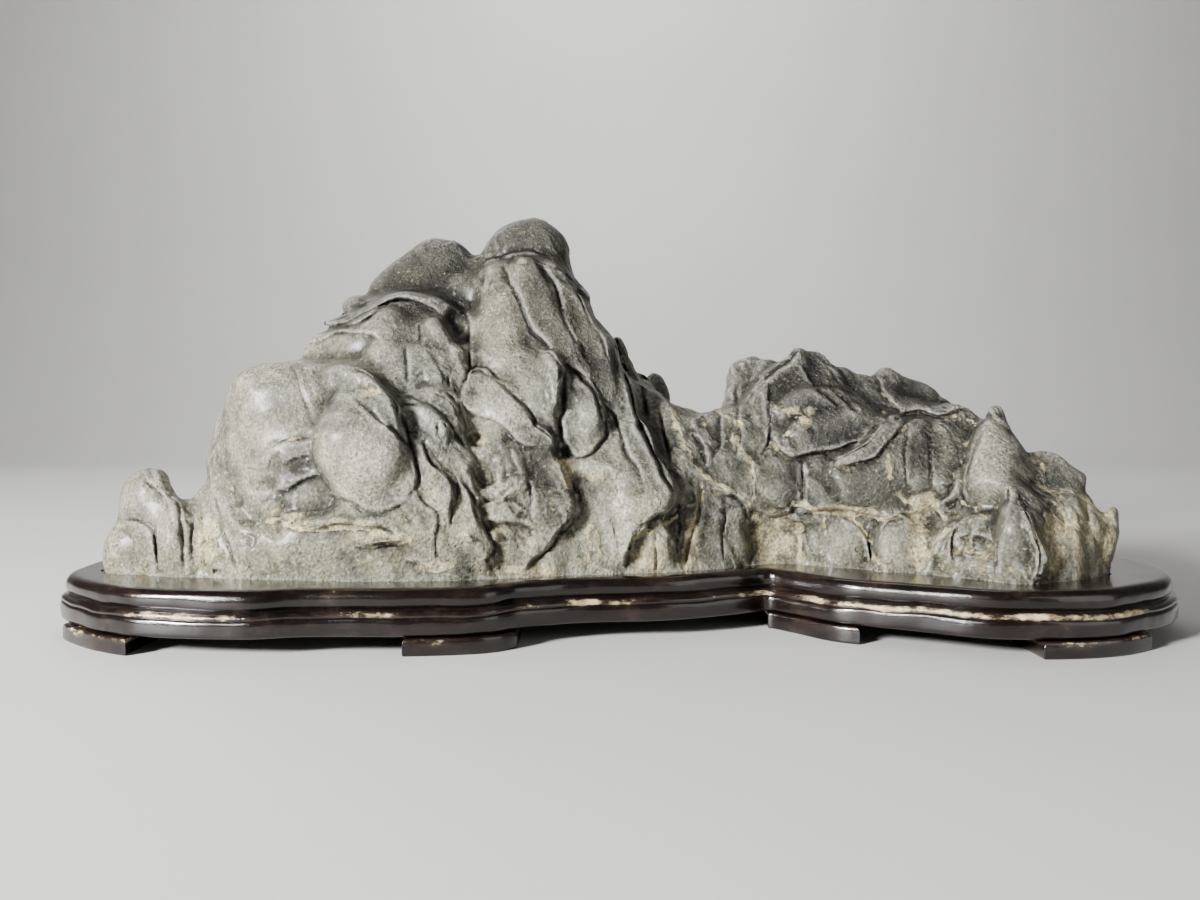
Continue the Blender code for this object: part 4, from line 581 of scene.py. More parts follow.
def add_fold(bm, in_view, bulge, crest, lean, points):
    """One rounded ridge: a UV sphere, its rings strung along the run and closing in past both ends."""
    if len(points) == 1:
        x, z, y, half = points[0]
        points = [(x, z + 0.1, y, half), (x, z - 0.1, y, half)]
    run = smooth_run(points, RINGS_PER_SPAN)
    count = len(run)
    way = np.gradient(run[:, :2], axis=0)
    way /= np.linalg.norm(way, axis=1)[:, None]
    order = np.r_[np.zeros(CAP_RINGS, int), np.arange(count), np.full(CAP_RINGS, count - 1)]
    steps = np.r_[np.arange(-CAP_RINGS, 0), np.zeros(count), np.arange(1, CAP_RINGS + 1)]
    closing = math.pi / 2 * steps / CAP_RINGS

    ball = bmesh.new()
    bands = len(order) - 1
    bmesh.ops.create_uvsphere(ball, u_segments=RING_POINTS, v_segments=bands, radius=1)
    unit = np.array([vert.co for vert in ball.verts])
    ring = np.rint(np.arccos(np.clip(unit[:, 2], -1, 1)) / math.pi * bands).astype(int)
    angle = np.arctan2(unit[:, 1], unit[:, 0])
    at = order[ring]
    end_shape = 2 / min(crest, 2.0)
    share = np.cos(closing[ring]) ** end_shape
    past_end = signed_power(np.sin(closing[ring]), end_shape)
    half = run[at, 3]
    proud = bulge * half
    out = signed_power(np.sin(angle), 2 / crest)
    across = signed_power(np.cos(angle), 2 / crest) + lean * np.maximum(out, 0) * (1 - np.abs(np.cos(angle)))
    side = np.stack([-way[at, 1], way[at, 0]], axis=-1)
    flat = run[at, :2] + way[at] * (half * past_end)[:, None] + side * (half * share * across)[:, None]
    x = flat[:, 0] + WANDER * wander(flat[:, 0], flat[:, 1], WANDER_LENGTH, 1)
    z = flat[:, 1] + WANDER * wander(flat[:, 0], flat[:, 1], WANDER_LENGTH, 2)
    y = run[at, 2] + proud - share * out * np.where(out > 0, proud, np.maximum(proud, ROOT))
    for vert, point in zip(ball.verts, in_view(x, z, y)):
        vert.co = Vector(point) * MM
    add_body(bm, ball)


def add_body(bm, body):
    """Moves one body's mesh into the whole."""
    mesh = bpy.data.meshes.new("body")
    body.to_mesh(mesh)
    body.free()
    bm.from_mesh(mesh)
    bpy.data.meshes.remove(mesh)


def add_heart(bm, centre, half_size):
    """One of the masses at the middle of the stone."""
    ball = bmesh.new()
    stretch = Matrix.Diagonal(Vector(half_size) * MM).to_4x4()
    made = {"u_segments": HEART_SEGMENTS, "v_segments": HEART_RINGS, "radius": 1}
    bmesh.ops.create_uvsphere(ball, matrix=Matrix.Translation(Vector(centre) * MM) @ stretch, **made)
    add_body(bm, ball)


def over_disc(values, cells, choose):
    """Each cell's least or greatest neighbour within so many cells."""
    reach = range(-int(cells), int(cells) + 1)
    shifts = [(i, j) for i in reach for j in reach if i * i + j * j <= cells * cells]
    return choose([np.roll(values, shift, (0, 1)) for shift in shifts], axis=0)


def add_filling(bm):
    """The rock between the folds: a skin a little behind what the eye meets, with the narrow gaps closed."""
    tree = BVHTree.FromBMesh(bm)
    eye = Vector(EYE) * MM
    xs = np.arange(FILL_LEFT, FILL_RIGHT, FILL_STEP)
    zs = np.arange(FILL_LOW, FILL_HIGH, FILL_STEP)
    depth = np.full((len(xs), len(zs)), FAR)
    for i, x in enumerate(xs):
        for j, z in enumerate(zs):
            hit = tree.ray_cast(eye, (Vector((x, ELEVATION_Y, z)) * MM - eye).normalized())[0]
            if hit:
                depth[i, j] = hit.y / MM
    closed = over_disc(over_disc(depth, FILL_CELLS, np.min), FILL_CELLS, np.max)
    inside = over_disc(closed, 1, np.max) < FAR
    rim = over_disc(closed, 3, np.max) < FAR
    level = (closed + over_disc(closed, 1, np.mean)) / 2 + FILL_BEHIND
    skin = bmesh.new()
    grid = {(i, j): skin.verts.new((xs[i], level[i, j], zs[j])) for i, j in zip(*np.nonzero(inside))}
    for i, j in list(grid):
        corners = [grid.get(corner) for corner in ((i, j), (i + 1, j), (i + 1, j + 1), (i, j + 1))]
        if all(corners):
            skin.faces.new(corners)
    loose = [vert for vert in skin.verts if not vert.link_faces]
    bmesh.ops.delete(skin, geom=loose, context="VERTS")
    behind = bmesh.ops.extrude_face_region(skin, geom=skin.faces[:])["geom"]
    for vert in (part for part in behind if isinstance(part, bmesh.types.BMVert)):
        cell = round((vert.co.x - xs[0]) / FILL_STEP), round((vert.co.z - zs[0]) / FILL_STEP)
        vert.co.y += FILL_THICK if rim[cell] else FILL_RIM_THICK
    flat = np.array([vert.co for vert in skin.verts])
    for vert, point in zip(skin.verts, in_front_view(flat[:, 0], flat[:, 2], flat[:, 1])):
        vert.co = Vector(point) * MM
    add_body(bm, skin)


def add_back(bm):
    """The back: its masses, and on them three sizes of ridge that run down from the skyline."""
    for run in BACK_MASSES:
        add_fold(bm, in_back_view, 0.75, 2.2, 0, run)
    rng = np.random.default_rng(11)
    for spacing, proud in BACK_RIDGES:
        tree = BVHTree.FromBMesh(bm)
        x = BACK_LEFT
        while x < BACK_RIGHT:
            half = spacing * rng.uniform(0.35, 0.6)
            lean = rng.uniform(-0.28, 0.28)
            top = rng.uniform(0.55, 0.97)
            bottom = rng.uniform(0.0, 0.4) if spacing < BACK_RIDGES[0][0] else 0.0
            run = back_ridge(tree, x, lean, top, bottom, half, proud, rng)
            if len(run) > 2:
                add_fold(bm, in_back_view, 0.9, rng.uniform(1.6, 2.1), rng.uniform(-0.4, 0.4), run)
            x += spacing * rng.uniform(0.5, 0.9)


def back_ridge(tree, x, lean, top, bottom, half, proud, rng):
    """A ridge down the back at x, as a run of points that lie on what is there."""
    skyline = 0
    while skyline < FILL_HIGH and seen_from_behind(tree, x, skyline + BACK_FOOT) is not None:
        skyline += SKYLINE_STEP
    run = []
    for height in np.linspace(top * skyline, BACK_FOOT + bottom * skyline, 5):
        at = x + lean * (skyline - height) + rng.uniform(-2, 2)
        surface = seen_from_behind(tree, at, height)
        if surface is not None:
            depth = -surface - proud * rng.uniform(0.6, 1.3)
            run.append((at, height, depth, half * rng.uniform(0.7, 1.2)))
    return run


def seen_from_behind(tree, x, z):
    """The depth at which a look from behind meets the rock, or None."""
    hit = tree.ray_cast(Vector((x, BACK_SIGHT, z)) * MM, Vector((0, -1, 0)))[0]
    return hit.y / MM if hit else None


def field(points, length, seed):
    """A smooth random field of about unit size in space: plane waves of nearly this wavelength."""
    rng = np.random.default_rng(seed)
    total = np.zeros(len(points))
    for _ in range(12):
        heading = rng.normal(size=3)
        heading /= np.linalg.norm(heading)
        wave = math.tau / (length * rng.uniform(0.6, 1.5))
        total += np.sin(wave * (points @ heading) + rng.uniform(0, math.tau))
    return total / 2.4


def to_line(x, z, line):
    """Each point's distance from a run of points, positive on its left, and how far along the run it is."""
    best = np.full(len(x), 1e9)
    along = np.zeros(len(x))
    walked = 0.0
    for (ax, az), (bx, bz) in zip(line, line[1:]):
        dx, dz = bx - ax, bz - az
        share = np.clip(((x - ax) * dx + (z - az) * dz) / (dx * dx + dz * dz), 0, 1)
        away = np.hypot(x - ax - share * dx, z - az - share * dz)
        left = np.sign(dx * (z - az) - dz * (x - ax))
        nearer = away < np.abs(best)
        best = np.where(nearer, away * np.where(left == 0, 1, left), best)
        along = np.where(nearer, walked + share * math.hypot(dx, dz), along)
        walked += math.hypot(dx, dz)
    return best, along / walked


def mesh_arrays(mesh):
    """The mesh's points, in millimetres, and its normals."""
    points = np.empty(len(mesh.vertices) * 3, np.float32)
    mesh.vertices.foreach_get("co", points)
    normals = np.empty(len(mesh.vertices) * 3, np.float32)
    mesh.vertex_normals.foreach_get("vector", normals)
    return points.reshape(-1, 3).astype(float) / MM, normals.reshape(-1, 3).astype(float)


def set_points(mesh, points):
    mesh.vertices.foreach_set("co", (points * MM).astype(np.float32).ravel())
    mesh.update()


def plates(points, size, seed):
    """Splits space into cells of about this size.

    For each point it gives the cell, a height tipped the cell's own way, and the distance from a seam.
    """
    draws = np.random.default_rng(seed).random((4099, 6))
    warped = points + 0.22 * size * np.stack([field(points, 0.9 * size, seed + k) for k in (1, 2, 3)], axis=1)
    cell = np.floor(warped / size).astype(np.int64)
    nearest = np.full(len(points), FAR)
    second = np.full(len(points), FAR)
    height = np.zeros(len(points))
    label = np.zeros(len(points), np.int64)
    for step in itertools.product((-1, 0, 1), repeat=3):
        corner = cell + step
        row = (corner @ np.array([1, 163, 1289])) % len(draws)
        gap = warped - (corner + draws[row, :3]) * size
        away = np.linalg.norm(gap, axis=1)
        closer = away < nearest
        second = np.where(closer, nearest, np.minimum(second, away))
        height = np.where(closer, (gap * (draws[row, 3:] - 0.5)).sum(1), height)
        label = np.where(closer, row, label)
        nearest = np.minimum(nearest, away)
    return label, height, second - nearest


def edges_of(mesh):
    edges = np.empty(len(mesh.edges) * 2, np.int32)
    mesh.edges.foreach_get("vertices", edges)
    return edges.reshape(-1, 2)


def averaged(values, edges, rounds, label=None):
    """Values spread among neighbours, and only among those of one label if labels are given."""
    if label is not None:
        edges = edges[label[edges[:, 0]] == label[edges[:, 1]]]
    count = 1 + np.bincount(edges.ravel(), minlength=len(values))
    columns = values.reshape(len(values), -1).T.copy()
    for _ in range(rounds):
        for column in columns:
            total = column + np.bincount(edges[:, 0], weights=column[edges[:, 1]], minlength=len(column))
            total += np.bincount(edges[:, 1], weights=column[edges[:, 0]], minlength=len(column))
            column[:] = total / count
    return columns.T.reshape(values.shape)


def carve(mesh):
    """Flattens the rounded folds into plates, cuts creases and hollows in the front, and wrinkles it all."""
    points, normals = mesh_arrays(mesh)
    edges = edges_of(mesh)
    sight = points - EYE
    sight /= np.linalg.norm(sight, axis=1)[:, None]
    facing = np.clip(-(normals * sight).sum(1) * 2.2 - 0.25, 0, 1)
    x, z = on_elevation(points)
    x += LINE_WANDER * wander(x, z, LINE_WANDER_LENGTH, 3)
    z += LINE_WANDER * wander(x, z, LINE_WANDER_LENGTH, 4)
    calm = np.zeros(len(points))
    for cx, cz, reach in SMOOTH_PLACES:
        calm = np.maximum(calm, np.exp(-(((x - cx) ** 2 + (z - cz) ** 2) / reach ** 2) ** 2))
    calm *= np.clip((CALM_FROM - points[:, 1]) / CALM_FADE, 0, 1)
    strength = 1 - CALM * calm

    softened = averaged(points, edges, SOFT_ROUNDS)
    rounder = averaged(softened, edges, SOFT_ROUNDS)
    wanted = softened + (rounder - softened) * calm[:, None]
    points += ((wanted - points) * normals).sum(1)[:, None] * normals
    slant = points @ SLANT
    label, tipped, seam = plates(slant, PLATE, 5)
    level = averaged(points, edges, PLATE_ROUNDS, label)
    flatten = ((level - points) * normals).sum(1) * PLATE_PULL
    sheer = averaged(flatten + PLATE_TIP * tipped, edges, 3)
    points += normals * (sheer * strength)[:, None]
    broken = np.clip(field(points, 30, 8) + 0.4, 0, 1) * strength
    points -= normals * (SEAM_DEPTH * broken * np.clip(1 - seam / SEAM_WIDTH, 0, 1))[:, None]

    push = np.zeros(len(points))
    painted_crease_shade = np.zeros(len(points))
    for half, depth, lip, line in CREASES:
        run = smooth_run(line, 4)
        near = facing > 0
        for values, ends in ((x, run[:, 0]), (z, run[:, 1])):
            near &= (values > ends.min() - CREASE_ROOM) & (values < ends.max() + CREASE_ROOM)
        off, along = to_line(x[near], z[near], run)
        away = np.abs(off)
        taper = np.clip(np.minimum(along, 1 - along) * CREASE_TAPER, 0, 1) ** 0.7
        uneven = 0.75 + 0.25 * wander(x[near], z[near], 11.0, 8)
        section = np.clip(1 - away / (CREASE_WIDTH * half), 0, 1) ** 1.2
        cut = CREASE_DEPTH * depth * taper * uneven * section
        side = lip * taper * np.clip(off / 0.5, -1, 1) * np.exp(-(away / LIP_REACH) ** 1.5)
        push[near] += cut - side
        # How dark the crease is, laid on in the finish as painted shade
        dark = min(1, depth / 1.6) * taper * np.clip(1.1 - away / (0.9 * half), 0, 1)
        painted_crease_shade[near] = np.maximum(painted_crease_shade[near], dark)
    for cx, cz, half_x, half_z, depth in HOLLOWS:
        inside = np.clip(1 - ((x - cx) / half_x) ** 2 - ((z - cz) / half_z) ** 2, 0, 1)
        push += depth * inside ** 0.8 * (facing > 0)
    points += sight * (push * facing)[:, None]

    _, tipped, seam = plates(slant, WRINKLE, 6)
    seams = WRINKLE_SEAM * np.clip(1 - seam / WRINKLE_SEAM_WIDTH, 0, 1) * np.clip(field(points, 12, 9), 0, 1)
    wrinkle = averaged(WRINKLE_TIP * tipped - seams, edges, 1)
    points += normals * ((wrinkle + WRINKLE_WAVE * field(slant, 6.5, 7)) * strength)[:, None]
    spare = np.clip((points[:, 2] - STONE_TOP + CROWN) / CROWN, 0, None)
    points[:, 2] -= spare * max(0, points[:, 2].max() - STONE_TOP + CROWN_ROOM)
    set_points(mesh, points)
    store(mesh, "crease_shade", painted_crease_shade * facing)


def make_fine_stone():
    """The stone: hearts, folds, filling and back fused into one skin, and that skin carved and thinned."""
    bm = bmesh.new()
    for centre, half_size in HEARTS:
        add_heart(bm, centre, half_size)
    for _, bulge, crest, lean, points in FOLDS:
        add_fold(bm, in_front_view, bulge, crest, lean, points)
    add_filling(bm)
    add_back(bm)
    bmesh.ops.recalc_face_normals(bm, faces=bm.faces)
    mesh = bpy.data.meshes.new("rock")
    bm.to_mesh(mesh)
    bm.free()
    rock = bpy.data.objects.new("rock", mesh)
    bpy.context.scene.collection.objects.link(rock)
    remesh = rock.modifiers.new("one_skin", "REMESH")
    remesh.mode = "VOXEL"
    remesh.voxel_size = STONE_GRID * MM
    settle(rock)
    carve(rock.data)
    cut_base(rock.data)
    stone_marks(rock.data)
    thin_out(rock)
    return rock


def thin_out(rock):
    """Fewer faces: first at the back and under the base, then everywhere."""
    points, normals = mesh_arrays(rock.data)
    back = (normals * (points - EYE)).sum(1) > 0
    behind = rock.vertex_groups.new(name="behind")
    behind.add(np.nonzero(back)[0].tolist(), 1.0, "REPLACE")
    first = rock.modifiers.new("fewer_behind", "DECIMATE")
    first.vertex_group = "behind"
    first.ratio = 1 - back.mean() * (1 - BACK_SHARE)
    settle(rock)
    rock.data.calc_loop_triangles()
    second = rock.modifiers.new("fewer_faces", "DECIMATE")
    second.ratio = min(1.0, STONE_TRIANGLES / len(rock.data.loop_triangles))
    settle(rock)


def settle(obj):
    """Applies an object's modifiers."""
    graph = bpy.context.evaluated_depsgraph_get()
    mesh = bpy.data.meshes.new_from_object(obj.evaluated_get(graph))
    old = obj.data
    obj.modifiers.clear()
    obj.data = mesh
    bpy.data.meshes.remove(old)


def cut_base(mesh):
    """Saws the stone off flat where it sits."""
    bm = bmesh.new()
    bm.from_mesh(mesh)
    everything = bm.verts[:] + bm.edges[:] + bm.faces[:]
    plane = (0, 0, STONE_BOTTOM * MM)
    bmesh.ops.bisect_plane(bm, geom=everything, plane_co=plane, plane_no=(0, 0, -1), clear_outer=True)
    rim = [edge for edge in bm.edges if edge.is_boundary]
    bmesh.ops.holes_fill(bm, edges=rim)
    bmesh.ops.triangulate(bm, faces=[face for face in bm.faces if len(face.verts) > 4])
    bm.to_mesh(mesh)
    bm.free()


def inside_any(x, z, places):
    """How deep each point lies within the nearest of these ovals, from 0 outside to 1 at the middle."""
    found = np.zeros(len(x))
    for cx, cz, half_x, half_z in places:
        inside = np.clip(1.3 - ((x - cx) / half_x) ** 2 - ((z - cz) / half_z) ** 2, 0, 1)
        found = np.maximum(found, inside)
    return found


def stone_marks(mesh):
    """What the finish is told at each point of the stone."""
    points, normals = mesh_arrays(mesh)
    edges = edges_of(mesh)
    near = averaged(points, edges, 4)
    wide = averaged(near, edges, 24)
    widest = averaged(wide, edges, 90)
    fine, broad, broadest = (((level - points) * normals).sum(1) for level in (near, wide, widest))
    x, z = on_elevation(points)
    front = (normals * (points - EYE)).sum(1) < 0
    vein = np.zeros(len(points))
    width = 1 + 0.55 * wander(x, z, 7.0, 12)
    for half, line in VEINS:
        away = np.abs(to_line(x + 0.4 * wander(x, z, 5.0, 13), z, smooth_run(line, 4))[0])
        vein = np.maximum(vein, np.clip(1.4 - away / (half * np.clip(width, 0.3, 1.8)), 0, 1))
    # The hollow mark darkens concave places as painted shade, and the cream crust gathers there too
    store(mesh, "hollow", np.clip(fine * 7.0, 0, 1) * 0.6 + np.clip(broad * 1.1 - 0.1, 0, 1) * 0.6)
    store(mesh, "shaded", broadest * 0.45)
    # The ridge mark pales convex places, partly as wear and partly as painted highlight
    store(mesh, "ridge", np.clip(-fine * 6.0, 0, 1) * 0.5 + np.clip(-broad * 0.9, 0, 1) * 0.5)
    store(mesh, "deposit", inside_any(x, z, DEPOSITS) * front)
    store(mesh, "vein", vein * front)
    # Partly stains and partly painted shade
    store(mesh, "stain_and_shade", inside_any(x, z, STAINS_AND_SHADE) * front)
    # Partly paler stone and partly painted light
    store(mesh, "pale", inside_any(x, z, PALE_AND_LIT) * front)
    store(mesh, "low", (LOW_FROM - points[:, 2]) / LOW_FADE)
    # Upper parts, darkened in the finish as painted shade
    store(mesh, "high", (points[:, 2] - HIGH_FROM) / HIGH_FADE)
    store(mesh, "east", (points[:, 0] - EAST_FROM) / EAST_FADE)


def store(mesh, name, values):
    """Keeps one value for each point, from 0 to 1, for the finish to read."""
    layer = mesh.attributes.new(name, "FLOAT", "POINT")
    layer.data.foreach_set("value", np.clip(values, 0, 1).astype(np.float32))


rock = make_fine_stone()
rock.data.shade_smooth()


def add_node(tree, kind, settings=None, **inputs):
    """A node with its settings, and its inputs set to values or linked to other nodes' sockets."""
    made = tree.nodes.new("ShaderNode" + kind)
    for key, value in (settings or {}).items():
        setattr(made, key, value)
    for key, value in inputs.items():
        socket = made.inputs[int(key[1:])] if key[0] == "_" else made.inputs[key.replace("_", " ")]
        if isinstance(value, bpy.types.NodeSocket):
            tree.links.new(value, socket)
        else:
            socket.default_value = value
    return made


def new_group(name, inputs, outputs):
    """A node group with these sockets, what it is given and where its results go."""
    group = bpy.data.node_groups.new(name, "ShaderNodeTree")
    for title, kind, value in inputs:
        socket = group.interface.new_socket(title, in_out="INPUT", socket_type="NodeSocket" + kind)
        socket.default_value = value
    for title, kind in outputs:
        group.interface.new_socket(title, in_out="OUTPUT", socket_type="NodeSocket" + kind)
    return group, group.nodes.new("NodeGroupInput").outputs, group.nodes.new("NodeGroupOutput").inputs


def noise(tree, place, scale, detail, roughness=0.5):
    settings = {"Vector": place, "Scale": scale, "Detail": detail, "Roughness": roughness}
    return add_node(tree, "TexNoise", **settings).outputs["Fac"]


def blended(tree, share, below, above):
    return add_node(tree, "MixRGB", Fac=share, Color1=below, Color2=above).outputs["Color"]


def mottle_group():
    """Two colours in soft patches, broken by smaller ones."""
    colours = [("Light", "Color", (0.5, 0.5, 0.5, 1)), ("Dark", "Color", (0.2, 0.2, 0.2, 1))]
    group, given, out = new_group("Mottle", colours + [("Scale", "Float", 60.0)], [("Color", "Color")])
    place = add_node(group, "TexCoord").outputs["Object"]
    sharp = add_node(group, "ValToRGB", Fac=noise(group, place, given["Scale"], 6.0, 0.62))
    sharp.color_ramp.elements[0].position = 0.36
    sharp.color_ramp.elements[1].position = 0.66
    mixed = blended(group, sharp.outputs["Color"], given["Dark"], given["Light"])
    group.links.new(mixed, out["Color"])
    return group


def ranged(tree, value, low, high, at_low, at_high):
    """value, moved from the range low to high into the range at_low to at_high."""
    return add_node(tree, "MapRange", Value=value, _1=low, _2=high, _3=at_low, _4=at_high).outputs["Result"]


def maths(tree, operation, *values, clamp=False):
    """The result of a Math node, each of whose values may be a number or a socket."""
    settings = {"operation": operation, "use_clamp": clamp}
    inputs = {f"_{k}": value for k, value in enumerate(values)}
    return add_node(tree, "Math", settings, **inputs).outputs["Value"]


def grain_group():
    """A fine rough ground, with pits where a slower noise allows them."""
    group, given, out = new_group(
        "Grain",
        [("Grain Scale", "Float", 900.0), ("Pit Scale", "Float", 420.0), ("Pits", "Float", 0.5)],
        [("Height", "Float"), ("Pit", "Float")],
    )
    place = add_node(group, "TexCoord").outputs["Object"]
    ground = noise(group, place, given["Grain Scale"], 5.0, 0.68)
    cells = add_node(group, "TexVoronoi", Vector=place, Scale=given["Pit Scale"]).outputs["Distance"]
    allowed = ranged(group, noise(group, place, 75.0, 2.0), 0.52, 0.66, 0.0, 1.0)
    pit = maths(group, "MULTIPLY", ranged(group, cells, 0.05, 0.34, 1.0, 0.0), allowed)
    deep = maths(group, "MULTIPLY", pit, given["Pits"])
    group.links.new(maths(group, "SUBTRACT", ground, deep), out["Height"])
    group.links.new(pit, out["Pit"])
    return group


mottle = mottle_group()
grain = grain_group()


def add_group(tree, group, **inputs):
    return add_node(tree, "Group", {"node_tree": group}, **inputs).outputs


def mottled(tree, light, dark, scale):
    """The mottle's colour, between a light and a dark."""
    return add_group(tree, mottle, Light=(*light, 1), Dark=(*dark, 1), Scale=scale)["Color"]


def mark(tree, name):
    """One of the values stored for each point."""
    return add_node(tree, "Attribute", {"attribute_name": name}).outputs["Fac"]


def scaled(tree, value, factor, added=0.0):
    """value * factor + added, kept between 0 and 1."""
    return maths(tree, "MULTIPLY_ADD", value, factor, added, clamp=True)


def summed(tree, value, factor, added):
    """value * factor + added, whatever it comes to."""
    return maths(tree, "MULTIPLY_ADD", value, factor, added)


def toned(tree, share, colour, tint):
    """The colour, multiplied by a tint by so much."""
    made = add_node(tree, "MixRGB", {"blend_type": "MULTIPLY"}, Fac=share, Color1=colour, Color2=tint)
    return made.outputs["Color"]


def new_material(name):
    made = bpy.data.materials.new(name)
    made.use_nodes = True
    return made, made.node_tree, made.node_tree.nodes["Principled BSDF"]


# The stone's colours, mottled: the light, the dark and the scale of the patches
BODY = ((0.45, 0.43, 0.36), (0.11, 0.108, 0.094), 36.0)
CLOUD = ((0.60, 0.58, 0.49), (0.055, 0.053, 0.048), 150.0)
CLOUD_SHARE = 0.48
WARMTH = ((1.0, 0.98, 0.87), (0.88, 0.92, 0.88), 17.0)
CRUST = ((0.80, 0.72, 0.49), (0.42, 0.36, 0.23), 230.0)

# What tints it west of the middle near the base, and east of it above the base
BASE_TINT = (1.0, 0.965, 0.86, 1)
UPPER_TINT = (0.33, 0.325, 0.315, 1)

# What darkens it and then what pales it: the mark that says where, how strongly, and the colour. The high,
# shaded, hollow and crease darkening is painted shade and the stain darkening partly so; the ridge paling is
# partly wear and partly painted highlight, the pale paling partly painted light.
DARKER = [
    ("high", 0.85, (0.40, 0.40, 0.365, 1)),
    ("stain_and_shade", 0.9, (0.22, 0.21, 0.185, 1)),
    ("shaded", 0.75, (0.22, 0.21, 0.20, 1)),
    ("hollow", 0.85, (0.14, 0.132, 0.122, 1)),
    ("crease_shade", 0.5, (0.15, 0.142, 0.125, 1)),
]
PALER = [
    ("ridge", 0.65, (0.62, 0.60, 0.52, 1)),
    ("pale", 0.42, (0.60, 0.57, 0.47, 1)),
]

# How much each thing adds to the gathering of cream crust, and how sharply and from where it shows
CREAM_LOW = 0.13
CREAM_CREVICE = 0.22
CREAM_DEPOSIT = 0.42
CREAM_VEIN = 0.62
CREAM_PATCHES = 2.1
CREAM_GAIN = 3.6
CREAM_LEVEL = -4.65

# The grain's dark specks, its painted glints, and the painted shade in its pits
SPECK = (0.22, 0.215, 0.205, 1)
UNTINTED = (1.0, 1.0, 1.0, 1)
PAINTED_GLINT = (0.80, 0.775, 0.69, 1)
PIT_SHADE = (0.3, 0.29, 0.28, 1)
STONE_RELIEF = 1.1 * MM


def limestone_material():
    """Grey and brown limestone with a cream crust, a grain and a thin wax, painted shade in its hollows,
    creases and upper parts, and painted glints on the grain.
    """
    made, tree, shader = new_material("limestone")
    place = add_node(tree, "TexCoord").outputs["Object"]
    low = mark(tree, "low")
    east = mark(tree, "east")
    relief = add_group(tree, grain, Grain_Scale=900.0, Pit_Scale=560.0, Pits=0.35)

    body = blended(tree, CLOUD_SHARE, mottled(tree, *BODY), mottled(tree, *CLOUD))
    body = toned(tree, 1.0, body, mottled(tree, *WARMTH))
    body = toned(tree, maths(tree, "SUBTRACT", low, east, clamp=True), body, BASE_TINT)
    upper = maths(tree, "SUBTRACT", east, scaled(tree, low, 0.55), clamp=True)
    body = toned(tree, scaled(tree, upper, 0.8), body, UPPER_TINT)
    # Painted shade from the high, shaded, hollow and crease marks, and partly from the stain mark
    for name, share, tint in DARKER:
        body = toned(tree, scaled(tree, mark(tree, name), share), body, tint)
    # Paling that is partly wear and paler stone, and partly painted highlight and painted light
    for name, share, colour in PALER:
        body = blended(tree, scaled(tree, mark(tree, name), share), body, colour)

    gathers = scaled(tree, low, CREAM_LOW)
    gathers = summed(tree, maths(tree, "MULTIPLY", mark(tree, "hollow"), east), CREAM_CREVICE, gathers)
    gathers = summed(tree, mark(tree, "deposit"), CREAM_DEPOSIT, gathers)
    gathers = summed(tree, mark(tree, "vein"), CREAM_VEIN, gathers)
    gathers = summed(tree, noise(tree, place, 120.0, 9.0, 0.72), CREAM_PATCHES, gathers)
    cream = scaled(tree, gathers, CREAM_GAIN, CREAM_LEVEL)
    body = blended(tree, scaled(tree, cream, 0.92), body, mottled(tree, *CRUST))
    speckle = scaled(tree, relief["Height"], 4.0, -1.5)
    body = toned(tree, 0.66, body, blended(tree, speckle, SPECK, UNTINTED))
    # Painted glints on the tips of the grain
    painted_glint = scaled(tree, relief["Height"], 7.0, -4.2)
    body = blended(tree, scaled(tree, painted_glint, 0.6), body, PAINTED_GLINT)
    # Painted shade in the pits
    body = toned(tree, scaled(tree, relief["Pit"], 0.3), body, PIT_SHADE)
    tree.links.new(body, shader.inputs["Base Color"])

    height = summed(tree, noise(tree, place, 380.0, 3.0, 0.55), 0.9, relief["Height"])
    height = summed(tree, cream, 0.5, height)
    bump = add_node(tree, "Bump", Strength=1.0, Distance=STONE_RELIEF, Height=height)
    tree.links.new(bump.outputs["Normal"], shader.inputs["Normal"])
    polish = summed(tree, east, -0.08, scaled(tree, mark(tree, "ridge"), -0.12, 0.40))
    tree.links.new(scaled(tree, cream, 0.35, polish), shader.inputs["Roughness"])
    wax = scaled(tree, east, 0.06, 0.18)
    tree.links.new(scaled(tree, cream, -0.4, wax), shader.inputs["Coat Weight"])
    shader.inputs["Coat Roughness"].default_value = 0.26
    shader.inputs["Specular IOR Level"].default_value = 0.5
    return made


rock.data.materials.append(limestone_material())
rock.name = "fine_stone"
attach(rock, "root")
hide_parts("stone")


# ==== The board ====
# A slab of dense wood carved by hand with two mouldings and a bead between them, and a shallow seat that
# follows the stone's base. Its very dark brown lacquer is rubbed through to a pale filler along the bead, and
# a painted highlight is laid in with that wear.

# The stand's outline seen from above (x, y), from its left end along the front, and back along the rear
OUTLINE = [(-195, -22), (-191.5, -38), (-184, -49), (-173.5, -59), (-164, -66), (-149, -73), (-117, -77),
           (-100, -73.5), (-69, -73), (-45, -69), (-34, -60), (-21, -54), (-8, -50.5), (12, -48),
           (26, -43), (40, -36), (51, -30), (60, -39), (70, -52), (82, -59), (93, -65), (108, -74),
           (119, -77), (138, -76), (152, -72), (165, -64), (177, -55), (185.5, -44), (192.5, -28),
           (195, -8), (191.5, 16), (180, 38), (160, 55), (128, 67), (80, 74), (20, 77), (-40, 75),
           (-96, 69), (-140, 57), (-169, 41), (-187.5, 18), (-195.5, -4)]

# Points along the outline from each to the next, and how unevenly the mouldings are cut, outward and upward
BOARD_STEPS = 10
CURVE_ROOM = 0.25
UNEVEN = 0.16
UNEVEN_LENGTH = 17
RISE = 0.2
RISE_LENGTH = 23

# The seat: its floor, how finely it follows the stone's base, and how clear of it
SEAT_FLOOR = 18.55
SEAT_STEP = 1.2
SEAT_FIT = 0.2
SEAT_ABOVE = 0.3
SEAT_CUTTER = 5
